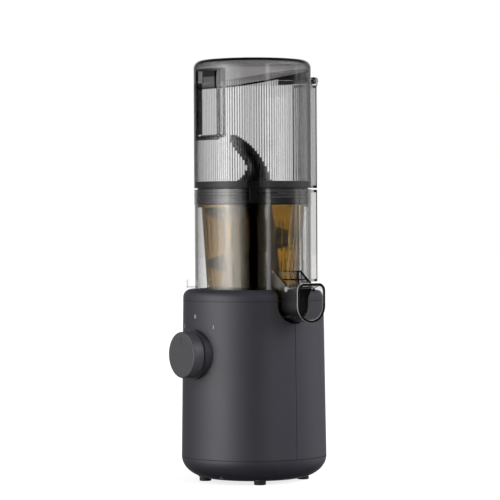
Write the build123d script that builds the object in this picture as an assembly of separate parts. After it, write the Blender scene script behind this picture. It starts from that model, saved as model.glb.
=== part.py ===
from build123d import *
from math import acos, cos, pi, radians, sin, sqrt, tan
import os

# A cold press juicer. Lengths are millimetres. The machine axis is the Z axis while the pieces are made, the knob
# faces -Y, the juice spout points along +X and the lid's hinge is at +Y. The feet stand on z = 0. Radii are set
# outwards from the juicing chamber and heights upwards from the underside, so each piece follows those it meets.

# ---- fits and cutting
FIT_GAP = 0.3
SEAT_CLEAR = 0.3
MARGIN = 1.0

# ---- juicing chamber, the radius that the machine is built round
CHAMBER_R = 64.0
CHAMBER_WALL = 2.6
CHAMBER_FLOOR = 3.5
CHAMBER_H = 141.5
FLANGE_LIP = 0.4
FLANGE_R = CHAMBER_R + FLANGE_LIP
FLANGE_WALL = 2.8
FLANGE_H = 16.5
TUB_GAP = 1.6
TUB_WALL = 2.0
TUB_R = CHAMBER_R + TUB_GAP + TUB_WALL

# ---- drive unit: casing, across
COVER_RIM = 9.6
BODY_R_TOP = TUB_R + COVER_RIM
BODY_TAPER = 2.4
BODY_R_BASE = BODY_R_TOP + BODY_TAPER
SHELL_WALL = 3.0
UNDERSIDE_Z = 3.3
BOWL_ROUND = 33.2
UNDERSIDE_R = BODY_R_BASE - BOWL_ROUND
BOWL_H = 24.2
BASE_SEAM_Z = UNDERSIDE_Z + BOWL_H
SHOULDER_R = 9.0
SEAM_GROOVE = 0.5
SHAFT_HOLE_R = 11.0
DECK_THICK = 3.0
QUARTERS = (45, 135, 225, 315)
COVER_POST_R = 4.5
COVER_POST_PITCH_R = 24.0
COVER_POST_BORE = 12.0
BOSS_R = 4.0
BOSS_INSET = 11.2
BOSS_PITCH_R = BODY_R_TOP - BOSS_INSET
BOSS_ANGLES = (20, 110, 200, 290)
BOSS_H = 16.0
BASE_BOSS_EXTRA = 1.0
SCREW_R = 1.6
SCREW_HEAD_R = 3.0
SCREW_HEAD_H = 2.4
SCREW_HEAD_CLEAR = 0.5
SCREW_SEAT_DEPTH = 9.0
SCREW_SEAT_Z = BASE_SEAM_Z - SCREW_SEAT_DEPTH
SCREW_REACH = 10.0
VENT_COUNT = 9
VENT_W = 3.0
VENT_L = 46.0
VENT_PITCH = 6.0

# ---- feet
FOOT_R = 6.5
FOOT_H = 4.6
FOOT_CHAMFER = 0.6
FOOT_INSET = 25.6
FOOT_PITCH_R = BODY_R_BASE - FOOT_INSET
FOOT_ANGLES = (-29, 61, 151, 241)
FOOT_BOSS_R = 7.5
FOOT_BOSS_H = 10.7
FOOT_BOSS_TOP = UNDERSIDE_Z + FOOT_BOSS_H

# ---- motor
MOTOR_RISE = 12.5
MOTOR_Z = BASE_SEAM_Z + MOTOR_RISE
BRACKET_THICK = 4.5
BRACKET_R = 38.0
BRACKET_EAR_PITCH_R = BRACKET_R + 3.0
BRACKET_BORE_R = 2.0
BRACKET_VENT_R = 6.0
BRACKET_VENT_PITCH_R = 26.0
BRACKET_HUB_WALL = 2.5
BRACKET_RIM = 3.0
EAR_R = 5.5
STATOR_R = 36.0
STATOR_RISE = 11.0
STATOR_Z0 = MOTOR_Z + STATOR_RISE
STATOR_LEN = 34.0
STATOR_Z1 = STATOR_Z0 + STATOR_LEN
STATOR_SLOTS = 24
STATOR_SLOT_W = 1.8
STATOR_SLOT_DEPTH = 3.0
AIR_GAP = 0.6
ROTOR_R = 20.0
WINDING_R_IN = 23.0
WINDING_R_OUT = 32.0
WINDING_H = 5.0
WINDING_ROUND = 1.8
MOTOR_SHAFT_R = 3.0
BEARING_R = 8.0
BEARING_H = 5.0
BEARING_CLEAR = 0.05
FAN_R = 29.0
FAN_DROP = 13.0
FAN_Z = MOTOR_Z - FAN_DROP
FAN_H = 9.0
FAN_HUB_R = 7.0
FAN_BLADES = 9
FAN_BLADE_THICK = 1.6
FAN_BLADE_ANGLE = 35
MOUNT_R = 6.0
MOUNT_H = 4.0
UPPER_BRACKET_RISE = 6.5
UPPER_BRACKET_Z = STATOR_Z1 + UPPER_BRACKET_RISE

# ---- reduction gearing, two equal stages, as large as the casing takes
PINION_TEETH = 14
WHEEL_TEETH = 70
PRESSURE_ANGLE = 20.0
ADDENDUM_SHARE = 0.8
DEDENDUM_SHARE = 1.0
BACKLASH = 0.12
GEARBOX_LIFT = 5.0
GEARBOX_Z = UPPER_BRACKET_Z + GEARBOX_LIFT
GEARBOX_FLOOR = 3.0
GEARBOX_WALL = 3.0
WHEEL_CLEAR = 3.0
GEARBOX_TO_SKIN = 9.6
MODULE = (BODY_R_TOP - GEARBOX_TO_SKIN - GEARBOX_WALL - WHEEL_CLEAR) / (WHEEL_TEETH + PINION_TEETH / 2)
GEAR_DISTANCE = MODULE * (PINION_TEETH + WHEEL_TEETH) / 2
STAGE_CLEAR = 2.4
STAGE1_FACE = 8.0
STAGE2_FACE = 12.0
STAGE_GAP = 3.0
STAGE1_Z = GEARBOX_Z + GEARBOX_FLOOR + STAGE_CLEAR
STAGE2_Z = STAGE1_Z + STAGE1_FACE + STAGE_GAP
GEARBOX_RIM_Z = STAGE2_Z + STAGE2_FACE + STAGE_CLEAR
COVER_THICK = 4.0
GEARBOX_TOP_Z = GEARBOX_RIM_Z + COVER_THICK
GEAR_PIN_R = 2.5
GEAR_PIN_CLEAR = 0.06
GEAR_PIN_BOSS = 3.0
WHEEL_HOLE_R = 4.0
WHEEL_HOLE_PITCH_R = 17.0
SHAFT_PASS_CLEAR = 2.0
HUB_R = 15.0
BUSH_R = 9.0
BUSH_H = 8.0

# ---- casing heights: the deck rests on the gearbox hub
HUB_LEN = 43.7
HUB_TOP_Z = GEARBOX_TOP_Z + HUB_LEN
DECK_Z = HUB_TOP_Z + DECK_THICK
WELL_DEPTH = 32.6
BODY_TOP_Z = DECK_Z + WELL_DEPTH
COVER_H = 12.6
SHELL_TOP_Z = BODY_TOP_Z - COVER_H

# ---- output shaft
OUTPUT_R = 6.0
OUTPUT_CLEAR = 0.06
HEX_AF = 10.0
HEX_CLEAR = 0.15
HEX_FOOT_Z = DECK_Z + 3.0
HEX_TOP_Z = DECK_Z + 34.0

# ---- control knob
KNOB_DROP = 37.3
KNOB_Z = DECK_Z - KNOB_DROP
KNOB_R = 25.0
KNOB_STAND = 16.4
KNOB_FACE_Y = -(BODY_R_BASE + KNOB_STAND)
KNOB_LEN = 13.4
KNOB_BACK_Y = KNOB_FACE_Y + KNOB_LEN
KNOB_GAP = 0.4
KNOB_EDGE = 1.6
KNOB_SKIN = 3.0
RING_R = 27.0
RING_FACE_Y = KNOB_BACK_Y + KNOB_GAP
RING_BORE_R = 13.0
GROOVE_LEN = 9.0
GROOVE_W = 1.2
GROOVE_DEPTH = 0.8
GROOVE_TOP_R = 19.7
SPINDLE_R = 3.0
SPINDLE_CLEAR = 0.06
SPINDLE_END_GAP = 1.0
SWITCH_HALF_W = 14.0
SWITCH_DEPTH = 16.0
SWITCH_BACK_WALL = 3.0
SWITCH_NECK_R = 5.0
SWITCH_NECK_CLEAR = 0.1
SWITCH_NECK_DROP = 0.8
NUT_AF = 14.0
NUT_H = 3.0
NUT_SEAT = 0.05

# ---- control board and mains inlet
BOARD_W = 54.0
BOARD_H = 66.0
BOARD_THICK = 1.6
BOARD_RISE = 8.0
BOARD_Z = MOTOR_Z + BOARD_RISE
BOARD_INSET = 21.2
BOARD_Y = BOARD_INSET - BODY_R_TOP
BOARD_POST_R = 3.0
BOARD_POST_INSET = 5.0
RELAY_X = -22.0
RELAY_RISE = 6.0
RELAY_W = 16.0
RELAY_L = 18.0
RELAY_DEPTH = 11.0
CAPACITOR_R = 5.0
CAPACITOR_X = 8.0
CAPACITOR_RISE = 14.0
CAPACITOR_DEPTH = 12.0
FILTER_X = -20.0
FILTER_RISE = 34.0
FILTER_W = 22.0
FILTER_L = 20.0
FILTER_DEPTH = 8.0
BRIDGE_X = 10.0
BRIDGE_RISE = 34.0
BRIDGE_W = 12.0
BRIDGE_L = 16.0
BRIDGE_DEPTH = 4.0
GLAND_RISE = 5.0
GLAND_Z = MOTOR_Z + GLAND_RISE
GLAND_R = 6.0
GLAND_LIP = 2.0
GLAND_LIP_THICK = 3.0
GLAND_SINK = 0.4
GLAND_BORE_R = 3.6

# ---- chamber heights
CHAMBER_TOP_Z = DECK_Z + CHAMBER_H
FLANGE_Z = CHAMBER_TOP_Z - FLANGE_H
COLLAR_R = 15.0
COLLAR_WALL = 3.0
COLLAR_H = 18.0
COLLAR_TOP_Z = DECK_Z + COLLAR_H
PACKING_H = 5.0
PLUG_R = 7.0
PLUG_PITCH_R = 34.0

# ---- spout
SPOUT_REACH = 43.0
SPOUT_ROOT = 6.0
SPOUT_FACE_X = CHAMBER_R + SPOUT_REACH
SPOUT_HALF_W = 18.25
SPOUT_DROP = 2.0
SPOUT_BOTTOM_Z = DECK_Z - SPOUT_DROP
SPOUT_H = 42.0
SPOUT_TOP_Z = SPOUT_BOTTOM_Z + SPOUT_H
SPOUT_CORNER = 8.0
SPOUT_WALL = 2.6
HOOD_H = 13.0
HOOD_TOP_Z = SPOUT_TOP_Z + HOOD_H
HOOD_LEN = 22.0
HOOD_END_X = CHAMBER_R + HOOD_LEN
HOOD_ROOT = 8.0
HOOD_SKIRT = 6.0
HOOD_STEP = 0.1
BAFFLE_X = CHAMBER_R + 10.0
BAFFLE_THICK = 2.0
PORT_R = 9.0
PORT_RISE = 18.0
PORT_Z = DECK_Z + PORT_RISE
FLAP_SEAL_R = 11.0
FLAP_SEAL_THICK = 3.0
FLAP_BACK_X = BAFFLE_X + BAFFLE_THICK + SEAT_CLEAR + FLAP_SEAL_THICK
FLAP_THICK = 3.0
FLAP_ARM = 7.7
FLAP_PIVOT_X = FLAP_BACK_X + FLAP_ARM
FLAP_PIVOT_DROP = 6.4
FLAP_PIVOT_Z = SPOUT_TOP_Z - FLAP_PIVOT_DROP
FLAP_HALF_W = 13.0
FLAP_BOTTOM_Z = DECK_Z + 4.0
FLAP_TOP_DROP = 3.0
FLAP_ARM_DROP = 12.0
FLAP_HUB_R = 2.4
HUB_BLEND = 11 / 12
FLAP_PIN_R = 1.5
FLAP_PIN_CLEAR = 0.08
PIN_HEAD_R = 2.8
PIN_HEAD_H = 1.0
POCKET_GAP = 2.75
POCKET_HALF_W = SPOUT_HALF_W + POCKET_GAP
POCKET_DROP = 2.0
POCKET_BOTTOM_Z = SPOUT_BOTTOM_Z - POCKET_DROP
POCKET_LINER = 2.5
POCKET_ROOT = 8.0

# ---- rod channels and safety rods
ROD_OFFSET = 6.0
ROD_Y = CHAMBER_R + ROD_OFFSET
ROD_R = 1.8
ROD_CLEAR = 0.5
ROD_GUIDE_CLEAR = 0.1
ROD_COLLAR_R = 4.0
ROD_COLLAR_H = 2.0
CHANNEL_HALF_W = 8.0
CHANNEL_WALL = 2.5
CHANNEL_OUT = 14.5
CHANNEL_Y = ROD_Y + CHANNEL_OUT
CHANNEL_ROOT = 4.0
CHANNEL_ROUND = 4.0
CHANNEL_LIFT = 6.4
CHANNEL_FOOT_Z = BODY_TOP_Z + CHANNEL_LIFT
CHANNEL_CAP = 3.0
SPRING_LEN = 18.0
SPRING_R = 2.9
SPRING_WIRE_R = 0.4
SPRING_TURNS = 6
SPRING_PLAY = 0.1
PLUNGER_DROP = 14.0
PLUNGER_FOOT_Z = DECK_Z - PLUNGER_DROP
PLUNGER_GUIDE_R = 3.6
ROD_STAND = 1.2
SAFETY_HALF_W = 10.0
SAFETY_H = 13.0
SAFETY_FRONT = 9.0
SAFETY_FOOT_Z = PLUNGER_FOOT_Z - FIT_GAP - SAFETY_H
SHELF_THICK = 4.0
SHELF_FRONT = 4.0

# ---- strainer
STRAINER_GAP_TOP = 7.5
STRAINER_GAP_FOOT = 15.1
STRAINER_GAP_RIM = 3.1
STRAINER_R_TOP = CHAMBER_R - STRAINER_GAP_TOP
STRAINER_R_FOOT = CHAMBER_R - STRAINER_GAP_FOOT
STRAINER_RIM_R = CHAMBER_R - STRAINER_GAP_RIM
STRAINER_FOOT_Z = DECK_Z + CHAMBER_FLOOR + FIT_GAP
STRAINER_DROP = 3.0
STRAINER_TOP_Z = FLANGE_Z - STRAINER_DROP
STRAINER_WALL = 2.0
STRAINER_RIM_H = 2.5
STRAINER_RIM_Z = STRAINER_TOP_Z + STRAINER_RIM_H
STRAINER_HUB_GAP = 0.5
SLOT_COUNT = 36
SLOT_W = 1.2
SLOT_H = 34.0
SLOT_RISE = 30.0
SLOT_ROW_PITCH = 44.0
SLOT_ROWS_Z = (DECK_Z + SLOT_RISE, DECK_Z + SLOT_RISE + SLOT_ROW_PITCH)

# ---- auger
AUGER_CLEAR = 1.0
AUGER_NECK_R = 9.0
AUGER_NECK_CLEAR = 0.08
AUGER_LIFT = 8.0
AUGER_FOOT_Z = DECK_Z + AUGER_LIFT
AUGER_CORE_LIFT = 20.0
AUGER_CORE_Z = DECK_Z + AUGER_CORE_LIFT
AUGER_CORE_R_FOOT = 33.0
AUGER_CORE_R_TOP = 21.0
AUGER_CORE_TOP_Z = STRAINER_TOP_Z
FLIGHT_PITCH = 58.0
FLIGHT_THICK = 4.0
AUGER_BAND_SHIFT = 14.0
SOCKET_R = 7.5
SOCKET_DEPTH = 28.0
WING_AZIMUTH = 54.5
WING_SECTIONS = (
    # height above the core, centre along the wing, half length, half thickness
    (0.0, 0.0, AUGER_CORE_R_TOP, AUGER_CORE_R_TOP - 1.0),
    (27.0, 0.0, 20.5, 12.0),
    (46.0, 3.4, 10.8, 8.5),
    (60.0, -5.6, 11.0, 6.0),
    (71.0, -14.4, 9.0, 4.2),
    (79.5, -21.6, 3.0, 1.6),
)

# ---- hopper
HOPPER_R = FLANGE_R
HOPPER_WALL = 2.5
RIB_COUNT = 150
RIB_HEIGHT = 0.25
RING_LIFT = 1.8
RING_FOOT_Z = CHAMBER_TOP_Z + RING_LIFT
RING_H = 6.7
RING_WALL = 6.4
RING_R_IN = HOPPER_R - RING_WALL
NECK_R = FLANGE_R - 3.5
HOPPER_FOOT_Z = RING_FOOT_Z + RING_H
HOPPER_H = 108.0
HOPPER_TOP_Z = HOPPER_FOOT_Z + HOPPER_H
LUG_COUNT = 3
LUG_ANGLE = 40.0
LUG_H = 4.0
RECESS_HALF_W = 19.6
RECESS_DEPTH = 11.2
RECESS_H = 57.0
RECESS_FOOT_Z = HOPPER_TOP_Z - RECESS_H
RECESS_RISE = 12.0
RECESS_TOP_Z = HOPPER_TOP_Z + RECESS_RISE
RECESS_WALL = 2.5
RECESS_FALL = 3.5
RECESS_BACK_Y = RECESS_DEPTH - HOPPER_R

# ---- lid and its hinge
LID_GAP = 0.3
LID_H = 28.0
LID_TOP_Z = HOPPER_TOP_Z + LID_H
LID_DOME = 3.0
LID_CORNER = 8.5
LID_WALL = 2.6
LID_FLOOR_LIFT = 5.0
LID_FLOOR_Z = HOPPER_TOP_Z + LID_FLOOR_LIFT
LID_FLOOR_SLOPE = 0.2
LID_FLOOR_THICK = 2.0
LID_FLOOR_GAP = 3.1
LID_FLOOR_R = HOPPER_R - LID_FLOOR_GAP
LID_FLOOR_FRONT = RECESS_BACK_Y + 3.9
TAB_HALF_W = 11.5
TAB_H = 19.0
TAB_THICK = 2.3
TAB_STAND = 3.0
TAB_ROOT_H = 6.0
STRIP_HALF_ANGLE = 25.0
STRIP_THICK = 2.2
STRIP_LIFT = 1.0
STRIP_Z0 = HOPPER_TOP_Z + STRIP_LIFT
STRIP_H = 13.0
PIVOT_OFFSET = 10.3
PIVOT_Y = ROD_Y + PIVOT_OFFSET
PIVOT_LIFT = 5.0
PIVOT_Z = HOPPER_TOP_Z + PIVOT_LIFT
HINGE_EAR_R = 4.2
HINGE_BARREL_R = 3.8
HINGE_HALF_W = 8.0
BARREL_HALF_W = 4.8
HINGE_PIN_R = 1.5
HINGE_PIN_CLEAR = 0.06
ARM_LIFT = 2.6
ARM_H = 6.0
ARM_FOOT_Z = HOPPER_TOP_Z + ARM_LIFT
ROD_RISE = 2.2
ROD_TOP_Z = HOPPER_TOP_Z + ROD_RISE

# the row frame has its origin under the middle of the whole object, on the ground
AXIS_X = -(SPOUT_FACE_X - BODY_R_BASE) / 2
AXIS_Y = -(PIVOT_Y + HINGE_EAR_R + KNOB_FACE_Y) / 2

UP = (Align.CENTER, Align.CENTER, Align.MIN)


# ---- plain shapes
def disc(r, z0, z1, x=0, y=0):
    return Pos(x, y, z0) * Cylinder(r, z1 - z0, align=UP)


def tube(r_out, r_in, z0, z1, x=0, y=0):
    return disc(r_out, z0, z1, x, y) - disc(r_in, z0 - MARGIN, z1 + MARGIN, x, y)


def block(x0, x1, y0, y1, z0, z1):
    return Pos(x0, y0, z0) * Box(x1 - x0, y1 - y0, z1 - z0, align=(Align.MIN,) * 3)


def bar_y(r, y0, y1, x, z):
    return Pos(x, y0, z) * Rot(-90, 0, 0) * Cylinder(r, y1 - y0, align=UP)


def bar_x(r, x0, x1, y, z):
    return Pos(x0, y, z) * Rot(0, 90, 0) * Cylinder(r, x1 - x0, align=UP)


def turned(*edges):
    """Solid turned about Z from the closed outline of the edges, drawn as (radius, height)."""
    return revolve(Plane.XZ * make_face(Curve() + list(edges)), Axis.Z)


def turned_points(*points):
    return revolve(Plane.XZ * make_face(Polyline(*points, close=True)), Axis.Z)


def hexagon(af, z0, z1):
    return Pos(0, 0, z0) * extrude(RegularPolygon(af / sqrt(3), 6), z1 - z0)


def group(pieces):
    """Several loose solids kept in one node."""
    return Compound([solid for piece in pieces for solid in piece.solids()])


def at_angle(r, angle):
    return r * cos(radians(angle)), r * sin(radians(angle))


def sector(r, arc, z0, z1, angle):
    """Upright wedge of radius r that spans arc degrees, centred on angle."""
    aligned = (Align.NONE, Align.NONE, Align.MIN)
    return Pos(0, 0, z0) * Rot(0, 0, angle - arc / 2) * Cylinder(r, z1 - z0, arc_size=arc, align=aligned)


def u_channel(half_w, z0, z1, x0, x1, corner=0.0):
    """Bar along X with a half-round bottom and an upright, corner-rounded top."""
    middle = z0 + half_w
    outline = Pos(0, middle) * Circle(half_w) + Pos(0, (middle + z1) / 2) * Rectangle(2 * half_w, z1 - middle)
    if corner > 0:
        outline = fillet(outline.vertices().group_by(Axis.Y)[-1], corner)
    return Pos(x0, 0, 0) * extrude(Plane.YZ * outline, x1 - x0)


# ---- outer forms of the casing
def casing_r(z):
    """Outer radius of the tapered casing wall at height z."""
    share = (z - BASE_SEAM_Z) / (SHELL_TOP_Z - BASE_SEAM_Z)
    return BODY_R_BASE + (BODY_R_TOP - BODY_R_BASE) * share


def bowl(inset):
    """The base bowl, with its walls moved inwards by inset."""
    long_r = BODY_R_BASE - UNDERSIDE_R - inset
    high_r = BASE_SEAM_Z - UNDERSIDE_Z - inset
    corner = Pos(UNDERSIDE_R, BASE_SEAM_Z) * EllipticalCenterArc((0, 0), long_r, high_r, 270, arc_size=90)
    floor = BASE_SEAM_Z - high_r
    rim = UNDERSIDE_R + long_r
    return turned(
        Line((0, floor), (UNDERSIDE_R, floor)), corner,
        Line((rim, BASE_SEAM_Z), (0, BASE_SEAM_Z)), Line((0, BASE_SEAM_Z), (0, floor)))


def casing_cone(inset):
    return turned_points(
        (0, BASE_SEAM_Z), (BODY_R_BASE - inset, BASE_SEAM_Z), (BODY_R_TOP - inset, SHELL_TOP_Z), (0, SHELL_TOP_Z))


def shoulder():
    arc_z = BODY_TOP_Z - SHOULDER_R
    arc_r = BODY_R_TOP - SHOULDER_R
    return turned(
        Line((0, SHELL_TOP_Z), (BODY_R_TOP, SHELL_TOP_Z)), Line((BODY_R_TOP, SHELL_TOP_Z), (BODY_R_TOP, arc_z)),
        CenterArc((arc_r, arc_z), SHOULDER_R, 0, 90), Line((arc_r, BODY_TOP_Z), (0, BODY_TOP_Z)),
        Line((0, BODY_TOP_Z), (0, SHELL_TOP_Z)))


def spout_pocket(extra=0.0):
    return u_channel(
        POCKET_HALF_W + extra, POCKET_BOTTOM_Z - extra, BODY_TOP_Z + MARGIN, TUB_R - TUB_WALL - POCKET_ROOT,
        BODY_R_BASE + MARGIN)


# ---- drive unit: casing pieces
def make_base_cap():
    outside = bowl(0)
    cap = outside - bowl(SHELL_WALL)
    foot_seats = [at_angle(FOOT_PITCH_R, a) for a in FOOT_ANGLES]
    posts = [disc(FOOT_BOSS_R, UNDERSIDE_Z + SHELL_WALL / 2, FOOT_BOSS_TOP, x, y) for x, y in foot_seats]
    boss_spots = [at_angle(BOSS_PITCH_R, a) for a in BOSS_ANGLES]
    posts += [disc(BOSS_R + BASE_BOSS_EXTRA, UNDERSIDE_Z, BASE_SEAM_Z, x, y) & outside for x, y in boss_spots]
    motor_spots = [at_angle(BRACKET_EAR_PITCH_R, a) for a in QUARTERS]
    post_top = MOTOR_Z - MOUNT_H
    posts += [disc(EAR_R - BASE_BOSS_EXTRA, UNDERSIDE_Z + SHELL_WALL / 2, post_top, x, y) for x, y in motor_spots]
    cap += posts
    cuts = [disc(FOOT_R, UNDERSIDE_Z - MARGIN, FOOT_H, x, y) for x, y in foot_seats]
    cuts += [disc(SCREW_R, UNDERSIDE_Z, BASE_SEAM_Z + MARGIN, x, y) for x, y in boss_spots]
    cuts += [disc(SCREW_HEAD_R + SCREW_HEAD_CLEAR, 0, SCREW_SEAT_Z, x, y) for x, y in boss_spots]
    first = -VENT_PITCH * (VENT_COUNT - 1) / 2
    for k in range(VENT_COUNT):
        x = first + k * VENT_PITCH
        top = UNDERSIDE_Z + SHELL_WALL + MARGIN / 2
        cuts.append(block(x - VENT_W / 2, x + VENT_W / 2, -VENT_L / 2, VENT_L / 2, 0, top))
    return cap - cuts


def make_shell(side):
    """Half of the tapered casing wall: side is -1 for the front half and 1 for the rear half."""
    wall = casing_cone(0) - casing_cone(SHELL_WALL)
    inside = casing_cone(SHELL_WALL / 2)
    for a in BOSS_ANGLES:
        boss = disc(BOSS_R, BASE_SEAM_Z, BASE_SEAM_Z + BOSS_H, BOSS_PITCH_R)
        boss += block(BOSS_PITCH_R, BODY_R_BASE, -BOSS_R / 2, BOSS_R / 2, BASE_SEAM_Z, BASE_SEAM_Z + BOSS_H)
        wall += (Rot(0, 0, a) * boss) & inside
    reach = BODY_R_BASE + MARGIN
    if side < 0:
        front = BOARD_Y - BOARD_THICK
        post_x = BOARD_W / 2 - BOARD_POST_INSET
        heights = (BOARD_Z + BOARD_POST_INSET, BOARD_Z + BOARD_H - BOARD_POST_INSET)
        for x in (-post_x, post_x):
            wall += [bar_y(BOARD_POST_R, -BODY_R_BASE, front, x, z) & inside for z in heights]
    else:
        top = SAFETY_FOOT_Z
        wall += block(-SAFETY_HALF_W, SAFETY_HALF_W, ROD_Y - SHELF_FRONT, reach, top - SHELF_THICK, top) & inside
    half = block(-reach, reach, -reach, 0, 0, BODY_TOP_Z) if side < 0 else block(-reach, reach, 0, reach, 0, BODY_TOP_Z)
    shell = wall & half
    groove = block(-reach, reach, -SEAM_GROOVE / 2, SEAM_GROOVE / 2, BASE_SEAM_Z - MARGIN, SHELL_TOP_Z + MARGIN)
    cuts = [groove - casing_cone(SEAM_GROOVE), spout_pocket()]
    for a in BOSS_ANGLES:
        cuts.append(disc(SCREW_R, BASE_SEAM_Z - MARGIN, BASE_SEAM_Z + BOSS_H - BOSS_R / 2, *at_angle(BOSS_PITCH_R, a)))
    if side < 0:
        cuts.append(bar_y(SWITCH_NECK_R + SWITCH_NECK_CLEAR, -reach, -BODY_R_BASE / 2, 0, KNOB_Z))
    else:
        cuts.append(bar_y(GLAND_R, BODY_R_BASE / 2, reach, 0, GLAND_Z))
    return shell - cuts


def make_top_cover():
    well_r = TUB_R - TUB_WALL
    cover = shoulder() - disc(BODY_R_TOP - SHELL_WALL, SHELL_TOP_Z - MARGIN, BODY_TOP_Z - SHOULDER_R)
    cover += disc(TUB_R, DECK_Z - DECK_THICK, BODY_TOP_Z - SHELL_WALL / 2)
    cover += disc(PLUNGER_GUIDE_R, SHELL_TOP_Z + FIT_GAP, BODY_TOP_Z - SHELL_WALL / 2, 0, ROD_Y)
    body = casing_cone(SHELL_WALL + FIT_GAP) + shoulder()
    liner = spout_pocket(POCKET_LINER) & body
    cover += liner
    for a in QUARTERS:
        cover += disc(COVER_POST_R, GEARBOX_TOP_Z, DECK_Z - MARGIN, *at_angle(COVER_POST_PITCH_R, a))
    cuts = [disc(well_r, DECK_Z, BODY_TOP_Z + MARGIN), spout_pocket(), disc(SHAFT_HOLE_R, 0, DECK_Z + MARGIN)]
    cuts.append(disc(ROD_R + ROD_GUIDE_CLEAR, SHELL_TOP_Z - MARGIN, BODY_TOP_Z + MARGIN, 0, ROD_Y))
    for a in QUARTERS:
        spot = at_angle(COVER_POST_PITCH_R, a)
        cuts.append(disc(SCREW_R, GEARBOX_TOP_Z - MARGIN, GEARBOX_TOP_Z + COVER_POST_BORE, *spot))
    return cover - cuts


def make_feet():
    foot = disc(FOOT_R, 0, FOOT_H)
    foot = chamfer(foot.edges().group_by(Axis.Z)[0], FOOT_CHAMFER)
    return group([Pos(*at_angle(FOOT_PITCH_R, a), 0) * foot for a in FOOT_ANGLES])


def make_case_screws():
    z = SCREW_SEAT_Z
    screw = disc(SCREW_HEAD_R, z - SCREW_HEAD_H, z) + disc(SCREW_R, z, BASE_SEAM_Z + SCREW_REACH)
    return group([Pos(*at_angle(BOSS_PITCH_R, a), 0) * screw for a in BOSS_ANGLES])


# ---- control knob and selector
def make_knob():
    knob = bar_y(KNOB_R, KNOB_FACE_Y, KNOB_BACK_Y, 0, KNOB_Z)
    knob = fillet(knob.edges().group_by(Axis.Y)[0], KNOB_EDGE)
    hollow = bar_y(KNOB_R - KNOB_SKIN, KNOB_FACE_Y + KNOB_SKIN, KNOB_BACK_Y + MARGIN, 0, KNOB_Z)
    hub = bar_y(SPINDLE_R + KNOB_SKIN, KNOB_FACE_Y + KNOB_SKIN / 2, KNOB_BACK_Y, 0, KNOB_Z)
    knob = knob - hollow + hub
    knob -= bar_y(SPINDLE_R, KNOB_FACE_Y + KNOB_SKIN, 0, 0, KNOB_Z)
    top = KNOB_Z + GROOVE_TOP_R
    return knob - block(
        -GROOVE_W / 2, GROOVE_W / 2, KNOB_FACE_Y - MARGIN, KNOB_FACE_Y + GROOVE_DEPTH, top - GROOVE_LEN, top)


def make_knob_ring():
    ring = bar_y(RING_R, RING_FACE_Y, -BODY_R_BASE / 2, 0, KNOB_Z)
    ring -= [casing_cone(0), bar_y(RING_BORE_R, -2 * BODY_R_BASE, 0, 0, KNOB_Z)]
    return ring


def switch_front_y():
    """Where the flat front of the selector switch meets the curved inside of the front shell."""
    inner = casing_r(KNOB_Z + SWITCH_HALF_W) - SHELL_WALL
    return -sqrt(inner ** 2 - SWITCH_HALF_W ** 2) + FIT_GAP


def make_selector_switch():
    front = switch_front_y()
    w = SWITCH_HALF_W
    switch = block(-w, w, front, front + SWITCH_DEPTH, KNOB_Z - w, KNOB_Z + w)
    switch += bar_y(SWITCH_NECK_R, RING_FACE_Y + SWITCH_NECK_DROP, front + MARGIN, 0, KNOB_Z)
    bore_end = front + SWITCH_DEPTH - SWITCH_BACK_WALL
    return switch - bar_y(SPINDLE_R + SPINDLE_CLEAR, -2 * BODY_R_BASE, bore_end, 0, KNOB_Z)


def make_switch_nut():
    back = -casing_r(KNOB_Z - NUT_AF / 2) - NUT_SEAT
    nut = Pos(0, back, KNOB_Z) * Rot(90, 0, 0) * extrude(RegularPolygon(NUT_AF / sqrt(3), 6), NUT_H)
    return nut - bar_y(SWITCH_NECK_R, -2 * BODY_R_BASE, 0, 0, KNOB_Z)


def make_knob_spindle():
    back = switch_front_y() + SWITCH_DEPTH - SWITCH_BACK_WALL - SPINDLE_END_GAP
    return bar_y(SPINDLE_R, KNOB_FACE_Y + KNOB_SKIN, back, 0, KNOB_Z)


# ---- motor
def make_bracket(z, hub_z0, hub_z1):
    plate = disc(BRACKET_R, z, z + BRACKET_THICK)
    spots = [at_angle(BRACKET_EAR_PITCH_R, a) for a in QUARTERS]
    plate += [disc(EAR_R, z, z + BRACKET_THICK, x, y) for x, y in spots]
    plate += disc(BEARING_R + BRACKET_HUB_WALL, hub_z0, hub_z1)
    vents = [at_angle(BRACKET_VENT_PITCH_R, a + 45) for a in QUARTERS]
    plate -= [disc(BRACKET_VENT_R, z - MARGIN, z + BRACKET_THICK + MARGIN, x, y) for x, y in vents]
    plate -= [disc(BRACKET_BORE_R, z - MARGIN, z + BRACKET_THICK + MARGIN, x, y) for x, y in spots]
    return plate


def make_motor_lower_bracket():
    plate = make_bracket(MOTOR_Z, MOTOR_Z, MOTOR_Z + BEARING_H)
    plate += tube(STATOR_R, STATOR_R - BRACKET_RIM, MOTOR_Z + BRACKET_THICK / 2, STATOR_Z0)
    return plate - disc(BEARING_R, MOTOR_Z - MARGIN, MOTOR_Z + BEARING_H + MARGIN)


def make_motor_upper_bracket():
    z = UPPER_BRACKET_Z
    plate = make_bracket(z, z, z + BRACKET_THICK)
    plate += tube(STATOR_R, STATOR_R - BRACKET_RIM, STATOR_Z1, z + BRACKET_THICK / 2)
    return plate - disc(BEARING_R, z - MARGIN, z + BRACKET_THICK + MARGIN)


def make_motor_bearings():
    low = tube(BEARING_R, MOTOR_SHAFT_R + BEARING_CLEAR, MOTOR_Z, MOTOR_Z + BEARING_H)
    z = UPPER_BRACKET_Z
    high = tube(BEARING_R, MOTOR_SHAFT_R + BEARING_CLEAR, z, z + BRACKET_THICK)
    return group([low, high])


def make_motor_mounts():
    spots = [at_angle(BRACKET_EAR_PITCH_R, a) for a in QUARTERS]
    return group([disc(MOUNT_R, MOTOR_Z - MOUNT_H, MOTOR_Z, x, y) for x, y in spots])


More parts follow.
